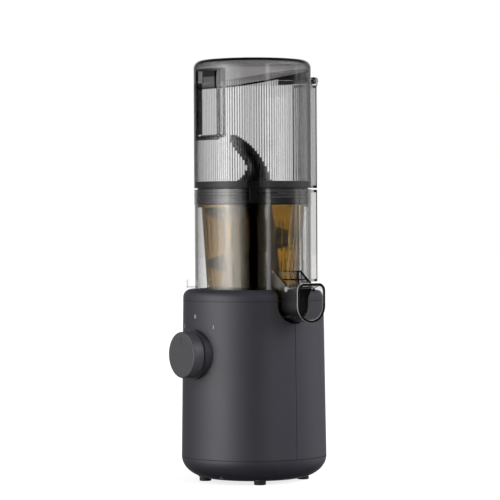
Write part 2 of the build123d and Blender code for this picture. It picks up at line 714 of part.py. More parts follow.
def make_motor_stator():
    stator = tube(STATOR_R, ROTOR_R + AIR_GAP, STATOR_Z0, STATOR_Z1)
    half = STATOR_SLOT_W / 2
    slot = block(ROTOR_R, ROTOR_R + STATOR_SLOT_DEPTH, -half, half, STATOR_Z0 - MARGIN, STATOR_Z1 + MARGIN)
    slots = [Rot(0, 0, 360 / STATOR_SLOTS * k) * slot for k in range(STATOR_SLOTS)]
    return stator - slots


def make_motor_windings():
    low = tube(WINDING_R_OUT, WINDING_R_IN, STATOR_Z0 - WINDING_H, STATOR_Z0)
    high = tube(WINDING_R_OUT, WINDING_R_IN, STATOR_Z1, STATOR_Z1 + WINDING_H)
    low = fillet(low.edges().group_by(Axis.Z)[0], WINDING_ROUND)
    high = fillet(high.edges().group_by(Axis.Z)[-1], WINDING_ROUND)
    return group([low, high])


def make_motor_rotor():
    return tube(ROTOR_R, MOTOR_SHAFT_R, STATOR_Z0, STATOR_Z1)


def make_motor_shaft():
    return disc(MOTOR_SHAFT_R, FAN_Z - MARGIN, STAGE1_Z + STAGE1_FACE)


def make_cooling_fan():
    fan = disc(FAN_HUB_R, FAN_Z, FAN_Z + FAN_H)
    half = FAN_BLADE_THICK / 2
    blade = block(FAN_HUB_R - MARGIN, FAN_R, -half, half, -FAN_H / 2, FAN_H / 2)
    blade = Pos(0, 0, FAN_Z + FAN_H / 2) * Rot(FAN_BLADE_ANGLE, 0, 0) * blade
    fan += [Rot(0, 0, 360 / FAN_BLADES * k) * blade for k in range(FAN_BLADES)]
    fan &= disc(FAN_R, FAN_Z, FAN_Z + FAN_H)
    return fan - disc(MOTOR_SHAFT_R, FAN_Z - MARGIN, FAN_Z + FAN_H + MARGIN)


# ---- gearing
def gear(teeth, z, face, tooth_at):
    """Involute spur gear with short teeth; one tooth is centred on the angle tooth_at."""
    pitch_r = MODULE * teeth / 2
    base_r = pitch_r * cos(radians(PRESSURE_ANGLE))
    tip_r = pitch_r + ADDENDUM_SHARE * MODULE
    root_r = pitch_r - DEDENDUM_SHARE * MODULE
    at_pitch = tan(radians(PRESSURE_ANGLE)) - radians(PRESSURE_ANGLE)
    half = pi / (2 * teeth) - BACKLASH / (2 * pitch_r) + at_pitch

    def flank(r):
        """Half of the tooth's angle at radius r."""
        lean = acos(min(1.0, base_r / r))
        return half - (tan(lean) - lean)

    radii = [max(base_r, root_r), pitch_r, tip_r]
    side = [(r, flank(r)) for r in radii]
    if root_r < base_r:
        side.insert(0, (root_r, half))
    points = []
    for k in range(teeth):
        centre = radians(tooth_at) + 2 * pi * k / teeth
        tooth = [(r, centre - a) for r, a in side] + [(r, centre + a) for r, a in reversed(side)]
        points += [(r * cos(a), r * sin(a)) for r, a in tooth]
    return Pos(0, 0, z) * extrude(make_face(Polyline(*points, close=True)), face)


def make_motor_pinion():
    z = STAGE1_Z
    return gear(PINION_TEETH, z, STAGE1_FACE, 90) - disc(MOTOR_SHAFT_R, z - MARGIN, z + STAGE1_FACE + MARGIN)


def make_compound_gear():
    wheel = gear(WHEEL_TEETH, STAGE1_Z, STAGE1_FACE, 270 + 180 / WHEEL_TEETH)
    top = STAGE1_Z + STAGE1_FACE
    pinion = gear(PINION_TEETH, top, STAGE2_Z + STAGE2_FACE - top, 270)
    whole = wheel + pinion - disc(GEAR_PIN_R + GEAR_PIN_CLEAR, 0, DECK_Z)
    return Pos(0, GEAR_DISTANCE, 0) * whole


def make_output_gear():
    z = STAGE2_Z
    wheel = gear(WHEEL_TEETH, z, STAGE2_FACE, 90 + 180 / WHEEL_TEETH)
    holes = [disc(WHEEL_HOLE_R, 0, DECK_Z, *at_angle(WHEEL_HOLE_PITCH_R, a)) for a in range(0, 360, 60)]
    return wheel - [disc(OUTPUT_R, 0, DECK_Z)] - holes


def make_output_shaft():
    return disc(OUTPUT_R, STAGE2_Z, HEX_FOOT_Z) + hexagon(HEX_AF, HEX_FOOT_Z, HEX_TOP_Z)


def gearbox_form(gap, z0, z1):
    r = MODULE * WHEEL_TEETH / 2 + WHEEL_CLEAR + gap
    return disc(r, z0, z1) + disc(r, z0, z1, 0, GEAR_DISTANCE)


def make_gearbox_housing():
    floor = GEARBOX_Z + GEARBOX_FLOOR
    cup = gearbox_form(GEARBOX_WALL, GEARBOX_Z, GEARBOX_RIM_Z) - gearbox_form(0, floor, GEARBOX_RIM_Z + MARGIN)
    cup += disc(GEAR_PIN_R + GEAR_PIN_BOSS, floor - GEARBOX_FLOOR / 2, STAGE1_Z - FIT_GAP, 0, GEAR_DISTANCE)
    cup -= disc(GEAR_PIN_R, GEARBOX_Z + MARGIN, STAGE1_Z, 0, GEAR_DISTANCE)
    return cup - disc(MOTOR_SHAFT_R + SHAFT_PASS_CLEAR, GEARBOX_Z - MARGIN, floor + MARGIN)


def make_gearbox_cover():
    rim = GEARBOX_RIM_Z
    top = GEARBOX_TOP_Z
    high = HUB_TOP_Z
    cover = gearbox_form(GEARBOX_WALL, rim, top) + disc(HUB_R, top - MARGIN, high)
    cover -= [disc(BUSH_R, rim - MARGIN, rim + BUSH_H), disc(BUSH_R, high - BUSH_H, high + MARGIN)]
    cover -= disc(OUTPUT_R + SHAFT_PASS_CLEAR / 2, rim, high)
    cover -= disc(GEAR_PIN_R, rim - MARGIN, top - MARGIN, 0, GEAR_DISTANCE)
    for a in QUARTERS:
        cover -= disc(SCREW_R, rim - MARGIN, top + MARGIN, *at_angle(COVER_POST_PITCH_R, a))
    return cover


def make_gear_pin():
    return disc(GEAR_PIN_R, GEARBOX_Z + MARGIN, GEARBOX_TOP_Z - MARGIN, 0, GEAR_DISTANCE)


def make_output_bushes():
    rim = GEARBOX_RIM_Z
    high = HUB_TOP_Z
    bore = OUTPUT_R + OUTPUT_CLEAR
    return group([tube(BUSH_R, bore, rim, rim + BUSH_H), tube(BUSH_R, bore, high - BUSH_H, high)])


def make_shaft_seal():
    """Lip seal round the shaft, in the hole of the deck."""
    return tube(SHAFT_HOLE_R, OUTPUT_R + OUTPUT_CLEAR, DECK_Z - DECK_THICK, DECK_Z - SEAT_CLEAR)


def make_gearbox_screws():
    rim = GEARBOX_RIM_Z
    head = rim - SCREW_HEAD_H
    screw = disc(SCREW_HEAD_R, head, rim) + disc(SCREW_R, rim, GEARBOX_TOP_Z + SCREW_REACH)
    spots = [at_angle(COVER_POST_PITCH_R, a) for a in QUARTERS]
    return group([Pos(x, y, 0) * screw for x, y in spots])


# ---- control board, mains inlet and safety switch
def make_control_board():
    return block(-BOARD_W / 2, BOARD_W / 2, BOARD_Y - BOARD_THICK, BOARD_Y, BOARD_Z, BOARD_Z + BOARD_H)


def make_board_parts():
    def part(x, rise, width, length, depth):
        return block(x, x + width, BOARD_Y, BOARD_Y + depth, BOARD_Z + rise, BOARD_Z + rise + length)

    relay = part(RELAY_X, RELAY_RISE, RELAY_W, RELAY_L, RELAY_DEPTH)
    capacitor = bar_y(CAPACITOR_R, BOARD_Y, BOARD_Y + CAPACITOR_DEPTH, CAPACITOR_X, BOARD_Z + CAPACITOR_RISE)
    filter_box = part(FILTER_X, FILTER_RISE, FILTER_W, FILTER_L, FILTER_DEPTH)
    bridge = part(BRIDGE_X, BRIDGE_RISE, BRIDGE_W, BRIDGE_L, BRIDGE_DEPTH)
    return group([relay, capacitor, filter_box, bridge])


def make_cord_gland():
    inner = casing_r(GLAND_Z) - SHELL_WALL
    lip = GLAND_LIP_THICK
    bush = bar_y(GLAND_R, inner - lip, casing_r(GLAND_Z) - GLAND_SINK, 0, GLAND_Z)
    bush += bar_y(GLAND_R + GLAND_LIP, inner - 2 * lip, inner - lip, 0, GLAND_Z)
    bush += bar_y(GLAND_R + GLAND_LIP, inner - lip, casing_r(GLAND_Z), 0, GLAND_Z) & casing_cone(SHELL_WALL)
    return bush - bar_y(GLAND_BORE_R, 0, 2 * BODY_R_BASE, 0, GLAND_Z)


def make_safety_switch():
    z = SAFETY_FOOT_Z
    back = sqrt((casing_r(z + SAFETY_H) - SHELL_WALL) ** 2 - SAFETY_HALF_W ** 2) - FIT_GAP
    return block(-SAFETY_HALF_W, SAFETY_HALF_W, ROD_Y - SAFETY_FRONT, back, z, z + SAFETY_H)


def make_switch_plunger():
    return disc(ROD_R, PLUNGER_FOOT_Z, CHANNEL_FOOT_Z - FIT_GAP, 0, ROD_Y)


# ---- juicing chamber
def spout_inside():
    w = SPOUT_HALF_W - SPOUT_WALL
    tube_in = u_channel(
        w, SPOUT_BOTTOM_Z + SPOUT_WALL, SPOUT_TOP_Z - SPOUT_WALL, CHAMBER_R - POCKET_ROOT, SPOUT_FACE_X + MARGIN,
        SPOUT_CORNER - SPOUT_WALL)
    return tube_in + hood(SPOUT_WALL)


def hood(inset):
    """Sloping roof of the spout where it leaves the chamber wall."""
    low = SPOUT_TOP_Z - SPOUT_WALL - HOOD_SKIRT
    root = CHAMBER_R - HOOD_ROOT
    end = HOOD_END_X - inset
    outline = Polyline(
        (root, low), (root, HOOD_TOP_Z - inset), (CHAMBER_R, HOOD_TOP_Z - inset),
        (end, SPOUT_TOP_Z - SPOUT_WALL - HOOD_STEP), (end, low), close=True)
    return extrude(Plane.XZ * make_face(outline), SPOUT_HALF_W - inset, both=True)


def channel_hollow(z0, z1):
    w = CHANNEL_HALF_W - CHANNEL_WALL
    front = ROD_Y - ROD_COLLAR_R - ROD_CLEAR
    return block(-w, w, front, CHANNEL_Y - CHANNEL_WALL, z0 + CHANNEL_CAP, z1 - CHANNEL_CAP)


def channel(z0, z1):
    """Closed rod channel at the back, hollow inside, with a hole for the rod in its foot and its cap."""
    body = block(-CHANNEL_HALF_W, CHANNEL_HALF_W, CHAMBER_R - CHANNEL_ROOT, CHANNEL_Y, z0, z1)
    body = fillet(body.edges().filter_by(Axis.Z).group_by(Axis.Y)[-1], CHANNEL_ROUND)
    return body - [channel_hollow(z0, z1), disc(ROD_R + ROD_CLEAR, z0 - MARGIN, z1 + MARGIN, 0, ROD_Y)]


def make_chamber():
    floor = DECK_Z + CHAMBER_FLOOR
    inner = CHAMBER_R - CHAMBER_WALL
    mouth = FLANGE_R - FLANGE_WALL
    wall = disc(CHAMBER_R, DECK_Z, FLANGE_Z) + disc(FLANGE_R, FLANGE_Z, CHAMBER_TOP_Z)
    spout = u_channel(SPOUT_HALF_W, SPOUT_BOTTOM_Z, SPOUT_TOP_Z, CHAMBER_R - SPOUT_ROOT, SPOUT_FACE_X, SPOUT_CORNER)
    shape = wall + spout + hood(0) + channel(CHANNEL_FOOT_Z, CHAMBER_TOP_Z)
    shape -= disc(inner, floor, FLANGE_Z + MARGIN) + disc(mouth, FLANGE_Z, CHAMBER_TOP_Z + MARGIN)
    above_floor = block(0, 2 * SPOUT_FACE_X, -CHAMBER_R, CHAMBER_R, floor, CHAMBER_TOP_Z)
    outside = block(inner - MARGIN / 2, 2 * SPOUT_FACE_X, -CHAMBER_R, CHAMBER_R, SPOUT_BOTTOM_Z, CHAMBER_TOP_Z)
    shape -= spout_inside() & (above_floor + outside)
    partition = block(BAFFLE_X, BAFFLE_X + BAFFLE_THICK, -CHAMBER_R, CHAMBER_R, SPOUT_BOTTOM_Z, HOOD_TOP_Z)
    shape += partition & spout_inside()
    shape += tube(COLLAR_R, COLLAR_R - COLLAR_WALL, DECK_Z, COLLAR_TOP_Z)
    reach = SPOUT_HALF_W + PIN_HEAD_H
    shape -= [
        bar_x(PORT_R, BAFFLE_X - MARGIN, BAFFLE_X + BAFFLE_THICK + MARGIN, 0, PORT_Z),
        disc(COLLAR_R - COLLAR_WALL, 0, COLLAR_TOP_Z + MARGIN),
        disc(PLUG_R, 0, floor + MARGIN, -PLUG_PITCH_R, 0),
        bar_y(FLAP_PIN_R, -reach, reach, FLAP_PIVOT_X, FLAP_PIVOT_Z)]
    return shape


def make_chamber_packing():
    return tube(COLLAR_R - COLLAR_WALL, AUGER_NECK_R + AUGER_NECK_CLEAR, COLLAR_TOP_Z - PACKING_H, COLLAR_TOP_Z)


def make_residue_plug():
    return disc(PLUG_R, DECK_Z, DECK_Z + CHAMBER_FLOOR, -PLUG_PITCH_R, 0)


def make_flap_pin():
    reach = SPOUT_HALF_W + PIN_HEAD_H
    pin = bar_y(FLAP_PIN_R, -reach, reach, FLAP_PIVOT_X, FLAP_PIVOT_Z)
    pin += bar_y(PIN_HEAD_R, -reach, -SPOUT_HALF_W, FLAP_PIVOT_X, FLAP_PIVOT_Z)
    return pin + bar_y(PIN_HEAD_R, SPOUT_HALF_W, reach, FLAP_PIVOT_X, FLAP_PIVOT_Z)


def make_spout_flap():
    x = FLAP_BACK_X
    shoulder_z = FLAP_PIVOT_Z - FLAP_TOP_DROP
    arm_z = FLAP_PIVOT_Z - FLAP_ARM_DROP
    plate = u_channel(FLAP_HALF_W, FLAP_BOTTOM_Z, shoulder_z, x, x + FLAP_THICK)
    arm = Polyline(
        (x, arm_z), (x + FLAP_THICK, arm_z), (FLAP_PIVOT_X + FLAP_HUB_R, FLAP_PIVOT_Z),
        (FLAP_PIVOT_X, FLAP_PIVOT_Z + FLAP_HUB_R * HUB_BLEND), (x, shoulder_z), close=True)
    plate += extrude(Plane.XZ * make_face(arm), FLAP_HALF_W, both=True)
    plate += bar_y(FLAP_HUB_R, -FLAP_HALF_W, FLAP_HALF_W, FLAP_PIVOT_X, FLAP_PIVOT_Z)
    reach = FLAP_HALF_W + MARGIN
    bore = bar_y(FLAP_PIN_R + FLAP_PIN_CLEAR, -reach, reach, FLAP_PIVOT_X, FLAP_PIVOT_Z)
    return plate - bore


def make_flap_seal():
    x = FLAP_BACK_X
    return bar_x(FLAP_SEAL_R, x - FLAP_SEAL_THICK, x, 0, PORT_Z)


# ---- safety rods and springs
def make_rod(z0, z1, collar_z):
    return disc(ROD_R, z0, z1, 0, ROD_Y) + disc(ROD_COLLAR_R, collar_z, collar_z + ROD_COLLAR_H, 0, ROD_Y)


def make_spring(z):
    """Compression spring standing on the foot of a rod channel."""
    length = SPRING_LEN - 2 * SPRING_WIRE_R - SPRING_PLAY
    coil = Helix(length / SPRING_TURNS, length, SPRING_R)
    start = Plane(coil @ 0, z_dir=coil % 0)
    wire = sweep(start * Circle(SPRING_WIRE_R), path=coil, is_frenet=True)
    return Pos(0, ROD_Y, z + SPRING_WIRE_R + SPRING_PLAY / 2) * wire


def make_chamber_rod():
    return make_rod(CHANNEL_FOOT_Z, CHAMBER_TOP_Z + ROD_STAND, CHANNEL_FOOT_Z + CHANNEL_CAP + SPRING_LEN)


def make_chamber_rod_spring():
    return make_spring(CHANNEL_FOOT_Z + CHANNEL_CAP)


def make_hopper_rod():
    return make_rod(CHAMBER_TOP_Z + ROD_STAND + FIT_GAP, ROD_TOP_Z, RING_FOOT_Z + CHANNEL_CAP + SPRING_LEN)


def make_hopper_rod_spring():
    return make_spring(RING_FOOT_Z + CHANNEL_CAP)


# ---- strainer
def strainer_r(z):
    """Outer radius of the strainer at height z."""
    share = (z - STRAINER_FOOT_Z) / (STRAINER_TOP_Z - STRAINER_FOOT_Z)
    return STRAINER_R_FOOT + (STRAINER_R_TOP - STRAINER_R_FOOT) * share


def make_strainer():
    z0 = STRAINER_FOOT_Z
    z1 = STRAINER_TOP_Z
    top = STRAINER_RIM_Z
    t = STRAINER_WALL
    hub = COLLAR_R + STRAINER_HUB_GAP
    shape = turned_points(
        (hub, z0), (STRAINER_R_FOOT, z0), (STRAINER_R_TOP, z1), (STRAINER_RIM_R, z1), (STRAINER_RIM_R, top),
        (STRAINER_R_TOP - t, top), (STRAINER_R_TOP - t, z1), (STRAINER_R_FOOT - t, z0 + t), (hub + t, z0 + t),
        (hub + t, z0 + 4 * t), (hub, z0 + 4 * t))
    slots = []
    for row in SLOT_ROWS_Z:
        slot = block(STRAINER_R_FOOT - 4 * t, STRAINER_R_TOP + 2 * t, -SLOT_W / 2, SLOT_W / 2, row, row + SLOT_H)
        slots += [Rot(0, 0, 360 / SLOT_COUNT * k) * slot for k in range(SLOT_COUNT)]
    return shape - slots


# ---- auger
def make_auger():
    z0 = AUGER_CORE_Z
    z1 = AUGER_CORE_TOP_Z
    gap = STRAINER_WALL + AUGER_CLEAR
    core = turned_points((0, z0), (AUGER_CORE_R_FOOT, z0), (AUGER_CORE_R_TOP, z1), (0, z1))
    core += disc(AUGER_NECK_R, AUGER_FOOT_Z, z0 + MARGIN)
    envelope = turned_points(
        (0, z0), (strainer_r(z0) - gap, z0), (strainer_r(z1) - gap, z1), (0, z1))
    coil = Helix(FLIGHT_PITCH, z1 - z0 - FLIGHT_THICK, STRAINER_R_FOOT / 2)
    start = Plane(coil @ 0, x_dir=(1, 0, 0), z_dir=coil % 0)
    band = sweep(start * Pos(AUGER_BAND_SHIFT, 0) * Rectangle(STRAINER_R_FOOT, FLIGHT_THICK), path=coil, is_frenet=True)
    flight = (Pos(0, 0, z0 + FLIGHT_THICK / 2) * band) & envelope
    return core + flight - disc(SOCKET_R, AUGER_FOOT_Z - MARGIN, AUGER_FOOT_Z + SOCKET_DEPTH)


def make_auger_socket():
    z0 = AUGER_FOOT_Z
    z1 = AUGER_FOOT_Z + SOCKET_DEPTH
    hole = hexagon(HEX_AF + 2 * HEX_CLEAR, z0 - MARGIN, HEX_TOP_Z + FIT_GAP)
    return disc(SOCKET_R, z0, z1) - hole


def make_auger_wing():
    faces = []
    for rise, centre, half_len, half_thick in WING_SECTIONS:
        faces.append(Pos(centre, 0, AUGER_CORE_TOP_Z + rise) * Ellipse(half_len, half_thick))
    return Rot(0, 0, WING_AZIMUTH) * loft(faces)


# ---- hopper
def recess(y_back, half_w, z0, z1):
    """Space of the finger recess, open to the front, with a floor that falls outwards."""
    lip = z0 - RECESS_FALL
    front = -2 * HOPPER_R
    side = Polyline(
        (front, lip), (-HOPPER_R, lip), (y_back, z0), (y_back, z1), (front, z1), close=True)
    return Pos(-half_w, 0, 0) * extrude(Plane.YZ * make_face(side), 2 * half_w)


def hopper_panel():
    """The same space with its walls round it."""
    t = RECESS_WALL
    return recess(RECESS_BACK_Y + t, RECESS_HALF_W + t, RECESS_FOOT_Z - t, RECESS_TOP_Z + t)


def hopper_recess():
    return recess(RECESS_BACK_Y, RECESS_HALF_W, RECESS_FOOT_Z, RECESS_TOP_Z)


def ribbed_disc(z0, z1):
    """Upright cylinder whose side is a row of shallow round ribs."""
    edges = []
    step = 2 * pi / RIB_COUNT
    low = HOPPER_R - RIB_HEIGHT
    for k in range(RIB_COUNT):
        a = k * step
        ends = [(low * cos(t), low * sin(t)) for t in (a, a + step)]
        crest = (HOPPER_R * cos(a + step / 2), HOPPER_R * sin(a + step / 2))
        edges.append(ThreePointArc(ends[0], crest, ends[1]))
    return Pos(0, 0, z0) * extrude(make_face(Curve() + edges), z1 - z0)


def make_hopper():
    z0 = HOPPER_FOOT_Z
    z1 = HOPPER_TOP_Z
    outside = ribbed_disc(z0, z1)
    inner = disc(HOPPER_R - HOPPER_WALL, z0 - MARGIN, z1 + MARGIN)
    back = channel(RING_FOOT_Z, z1) - disc(HOPPER_R + FIT_GAP, 0, z0) - disc(HOPPER_R - MARGIN, z0, z1 + MARGIN)
    wall = outside - inner
    panel = hopper_panel() & disc(HOPPER_R - RIB_HEIGHT, z0, z1)
    wall += panel
    wall += back
    ear = bar_x(HINGE_EAR_R, BARREL_HALF_W + FIT_GAP, HINGE_HALF_W, PIVOT_Y, PIVOT_Z)
    stem_y1 = CHANNEL_Y - MARGIN
    stem = block(BARREL_HALF_W + FIT_GAP, HINGE_HALF_W, PIVOT_Y - HINGE_EAR_R, stem_y1, z1 - MARGIN, PIVOT_Z)
    wall += [ear + stem, mirror(ear + stem, Plane.YZ)]
    return wall - [
        hopper_recess(), channel_hollow(RING_FOOT_Z, z1),
        bar_x(HINGE_PIN_R, -HINGE_HALF_W - MARGIN, HINGE_HALF_W + MARGIN, PIVOT_Y, PIVOT_Z)]


def make_hopper_ring():
    ring = tube(HOPPER_R, RING_R_IN, RING_FOOT_Z, HOPPER_FOOT_Z)
    neck_foot = STRAINER_RIM_Z + FIT_GAP
    ring += tube(NECK_R, RING_R_IN, neck_foot, RING_FOOT_Z + MARGIN)
    lug_r = FLANGE_R - FLANGE_WALL - FIT_GAP
    for k in range(LUG_COUNT):
        lug = sector(lug_r, LUG_ANGLE, RING_FOOT_Z - 2 * LUG_H, RING_FOOT_Z - LUG_H, 90 + 360 / LUG_COUNT * k)
        ring += lug - disc(RING_R_IN, 0, HOPPER_TOP_Z)
    return ring


def make_hinge_pin():
    return bar_x(HINGE_PIN_R, -HINGE_HALF_W, HINGE_HALF_W, PIVOT_Y, PIVOT_Z)


# ---- lid
def lid_form(inset):
    """Domed round form of the lid, with its walls moved inwards by inset."""
    r = HOPPER_R - inset
    top = LID_TOP_Z - inset
    corner = LID_CORNER - inset
    edge = LID_TOP_Z - LID_DOME - inset
    foot = HOPPER_TOP_Z + LID_GAP - (MARGIN if inset > 0 else 0)
    flat_r = r - corner
    dome = ThreePointArc((0, top), (flat_r / 2, top - LID_DOME / 4), (flat_r, edge))
    round_edge = CenterArc((flat_r, edge - corner), corner, 0, 90)
    return turned(
        dome, round_edge, Line((r, edge - corner), (r, foot)), Line((r, foot), (0, foot)), Line((0, foot), (0, top)))


def make_lid():
    outside = lid_form(0)
    lid = outside - lid_form(LID_WALL)
    lid += hopper_panel() & outside
    lid -= hopper_recess()
    arm_w = BARREL_HALF_W
    arm = block(-arm_w, arm_w, HOPPER_R - LID_WALL, PIVOT_Y, ARM_FOOT_Z, ARM_FOOT_Z + ARM_H)
    arm += bar_x(HINGE_BARREL_R, -arm_w, arm_w, PIVOT_Y, PIVOT_Z)
    bore = bar_x(HINGE_PIN_R + HINGE_PIN_CLEAR, -arm_w - MARGIN, arm_w + MARGIN, PIVOT_Y, PIVOT_Z)
    return lid + arm - bore


def make_lid_floor():
    """Sloping inner floor that turns food back down into the hopper."""
    z = LID_FLOOR_Z
    front = LID_FLOOR_FRONT
    reach = LID_FLOOR_R + MARGIN
    t = LID_FLOOR_THICK
    side = Polyline(
        (front, z + front * LID_FLOOR_SLOPE - t), (reach, z + reach * LID_FLOOR_SLOPE - t),
        (reach, z + reach * LID_FLOOR_SLOPE), (front, z + front * LID_FLOOR_SLOPE), close=True)
    slab = Pos(-reach, 0, 0) * extrude(Plane.YZ * make_face(side), 2 * reach)
    return slab & disc(LID_FLOOR_R, 0, LID_TOP_Z)


def make_lid_tab():
    """Finger tab that hangs from the lid in front of the hopper's recess, with room for a fingertip behind it."""
    back = RECESS_BACK_Y - TAB_STAND
    front = back - TAB_THICK
    top = RECESS_TOP_Z
    tab = block(-TAB_HALF_W, TAB_HALF_W, front, back, top - TAB_H, top)
    return tab + block(-TAB_HALF_W, TAB_HALF_W, front, RECESS_BACK_Y, top - TAB_ROOT_H, top)


def make_hinge_strip():
    r = HOPPER_R - LID_WALL
    strip = sector(r, 2 * STRIP_HALF_ANGLE, STRIP_Z0, STRIP_Z0 + STRIP_H, 90)
    return strip - disc(r - STRIP_THICK, 0, LID_TOP_Z) - lid_floor_space()


def lid_floor_space():
    """Everything from just under the lid's sloping floor upwards."""
    reach = 2 * LID_FLOOR_R
    z = LID_FLOOR_Z - LID_FLOOR_THICK - FIT_GAP
    side = Polyline(
        (-reach, z - reach * LID_FLOOR_SLOPE), (reach, z + reach * LID_FLOOR_SLOPE), (reach, 2 * LID_TOP_Z),
        (-reach, 2 * LID_TOP_Z), close=True)
    return Pos(-reach, 0, 0) * extrude(Plane.YZ * make_face(side), 2 * reach)


NODES = {
    "base_cap": make_base_cap,
    "front_shell": lambda: make_shell(-1),
    "rear_shell": lambda: make_shell(1),
    "top_cover": make_top_cover,
    "feet": make_feet,
    "case_screws": make_case_screws,
    "knob": make_knob,
    "knob_ring": make_knob_ring,
    "knob_spindle": make_knob_spindle,
    "selector_switch": make_selector_switch,
    "switch_nut": make_switch_nut,
    "motor_lower_bracket": make_motor_lower_bracket,
    "motor_upper_bracket": make_motor_upper_bracket,
    "motor_bearings": make_motor_bearings,
    "motor_mounts": make_motor_mounts,
    "motor_stator": make_motor_stator,
    "motor_windings": make_motor_windings,
    "motor_rotor": make_motor_rotor,
    "motor_shaft": make_motor_shaft,
    "cooling_fan": make_cooling_fan,
    "motor_pinion": make_motor_pinion,
    "compound_gear": make_compound_gear,
    "gear_pin": make_gear_pin,
    "output_gear": make_output_gear,
    "output_shaft": make_output_shaft,
    "output_bushes": make_output_bushes,
    "shaft_seal": make_shaft_seal,
    "gearbox_housing": make_gearbox_housing,
    "gearbox_cover": make_gearbox_cover,
    "gearbox_screws": make_gearbox_screws,
    "control_board": make_control_board,
    "board_parts": make_board_parts,
    "cord_gland": make_cord_gland,
    "safety_switch": make_safety_switch,
    "switch_plunger": make_switch_plunger,
    "chamber": make_chamber,
    "chamber_packing": make_chamber_packing,
    "residue_plug": make_residue_plug,
    "chamber_rod": make_chamber_rod,
    "chamber_rod_spring": make_chamber_rod_spring,
    "flap_pin": make_flap_pin,
    "spout_flap": make_spout_flap,
    "flap_seal": make_flap_seal,
    "strainer": make_strainer,
    "auger": make_auger,
    "auger_socket": make_auger_socket,
    "auger_wing": make_auger_wing,
    "hopper": make_hopper,
    "hopper_ring": make_hopper_ring,
    "hopper_rod": make_hopper_rod,
    "hopper_rod_spring": make_hopper_rod_spring,
    "hinge_pin": make_hinge_pin,
    "lid": make_lid,
    "lid_floor": make_lid_floor,
    "lid_tab": make_lid_tab,
    "hinge_strip": make_hinge_strip,
}

os.makedirs("parts", exist_ok=True)
for name, make in NODES.items():
    piece = Pos(AXIS_X, AXIS_Y, 0) * make()
    export_step(piece, f"parts/{name}.step")
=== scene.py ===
from math import asin, atan2, cos, pi, radians, sin, sqrt, tan

import bpy
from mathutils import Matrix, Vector


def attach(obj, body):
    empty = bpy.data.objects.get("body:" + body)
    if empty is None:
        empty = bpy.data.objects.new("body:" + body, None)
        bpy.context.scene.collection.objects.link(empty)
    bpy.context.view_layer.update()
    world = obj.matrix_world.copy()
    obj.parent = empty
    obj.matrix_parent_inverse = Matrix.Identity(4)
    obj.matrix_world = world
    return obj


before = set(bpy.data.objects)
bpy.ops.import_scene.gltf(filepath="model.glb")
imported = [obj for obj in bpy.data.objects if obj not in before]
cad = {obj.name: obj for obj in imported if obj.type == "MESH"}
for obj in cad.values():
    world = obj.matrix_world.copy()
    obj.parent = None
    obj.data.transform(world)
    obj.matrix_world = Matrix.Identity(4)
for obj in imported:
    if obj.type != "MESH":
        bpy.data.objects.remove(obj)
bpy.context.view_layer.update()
bpy.ops.object.select_all(action="DESELECT")

# A cold press juicer, in metres. The knob faces -Y, the juice spout +X, and the lid is hinged at +Y.

# ---------------------------------------------------------------- camera
# A long lens, a little above the machine's middle. It is turned so that the knob is at the left and the spout at the
# right, and rolled by a hair.
AXIS_X, AXIS_Y = -0.0137, 0.00575
CAMERA_AZIMUTH = radians(54.5)
CAMERA_DISTANCE = 2.75
CAMERA_HEIGHT = 0.284
AIM_HEIGHT = 0.2530
AIM_LEFT = 0.0034
CAMERA_ROLL = radians(-0.3)
away = Vector((sin(CAMERA_AZIMUTH), -cos(CAMERA_AZIMUTH), 0))
to_right = Vector((cos(CAMERA_AZIMUTH), sin(CAMERA_AZIMUTH), 0))
axis_foot = Vector((AXIS_X, AXIS_Y, 0))
camera_spot = axis_foot + CAMERA_DISTANCE * away + Vector((0, 0, CAMERA_HEIGHT))
aim = axis_foot - AIM_LEFT * to_right + Vector((0, 0, AIM_HEIGHT))
bpy.ops.object.camera_add(location=camera_spot)
camera = bpy.context.object
camera.name = "camera"
camera.data.lens = 180
camera.data.sensor_width = 36
camera.data.clip_end = 30
camera.rotation_euler = (aim - camera_spot).to_track_quat("-Z", "Y").to_euler()
camera.rotation_euler.rotate_axis("Z", CAMERA_ROLL)
bpy.context.scene.camera = camera

# ---------------------------------------------------------------- studio
# A tall softbox at the left and a high one at the right light the machine. What shines or is clear shows the same
# lights in the world, with soft edges, and a dark room between them. The floor and the backdrop are white.
SOFTBOX_DISTANCE = 1.25
SOFTBOX_H = 1.4
SOFTBOX_Z = 0.45
SOFTBOX_AIM_Z = 0.26


def softbox(name, turn, arc, level, height=SOFTBOX_H, z=SOFTBOX_Z):
    """Area lamp that spans arc degrees of a circle round the machine, turn degrees to the right of the camera."""
    a = CAMERA_AZIMUTH + radians(turn)
    width = 2 * SOFTBOX_DISTANCE * tan(radians(arc / 2))
    spot = axis_foot + SOFTBOX_DISTANCE * Vector((sin(a), -cos(a), 0)) + Vector((0, 0, z))
    bpy.ops.object.light_add(type="AREA", location=spot)
    lamp = bpy.context.object
    lamp.name = name
    lamp.data.shape = "RECTANGLE"
    lamp.data.size = width
    lamp.data.size_y = height
    lamp.data.energy = level * pi * width * height
    look = axis_foot + Vector((0, 0, SOFTBOX_AIM_Z)) - spot
    lamp.rotation_euler = look.to_track_quat("-Z", "Y").to_euler()
    lamp.visible_glossy = False
    lamp.visible_transmission = False


softbox("softbox_left", turn=-76, arc=56, level=3.2)
softbox("softbox_right", turn=70, arc=44, level=9.5, height=1.0, z=0.7)
softbox("softbox_front", turn=8, arc=40, level=0.5)


def calc(tree, operation, *values):
    """Math node that takes numbers or sockets."""
    node = tree.nodes.new("ShaderNodeMath")
    node.operation = operation
    for socket, value in zip(node.inputs, values):
        if isinstance(value, (int, float)):
            socket.default_value = value
        else:
            tree.links.new(value, socket)
    return node.outputs[0]


def pick(tree, factor, low, high):
    """Low where the factor is 0 and high where it is 1."""
    return calc(tree, "MULTIPLY_ADD", factor, calc(tree, "SUBTRACT", high, low), low)


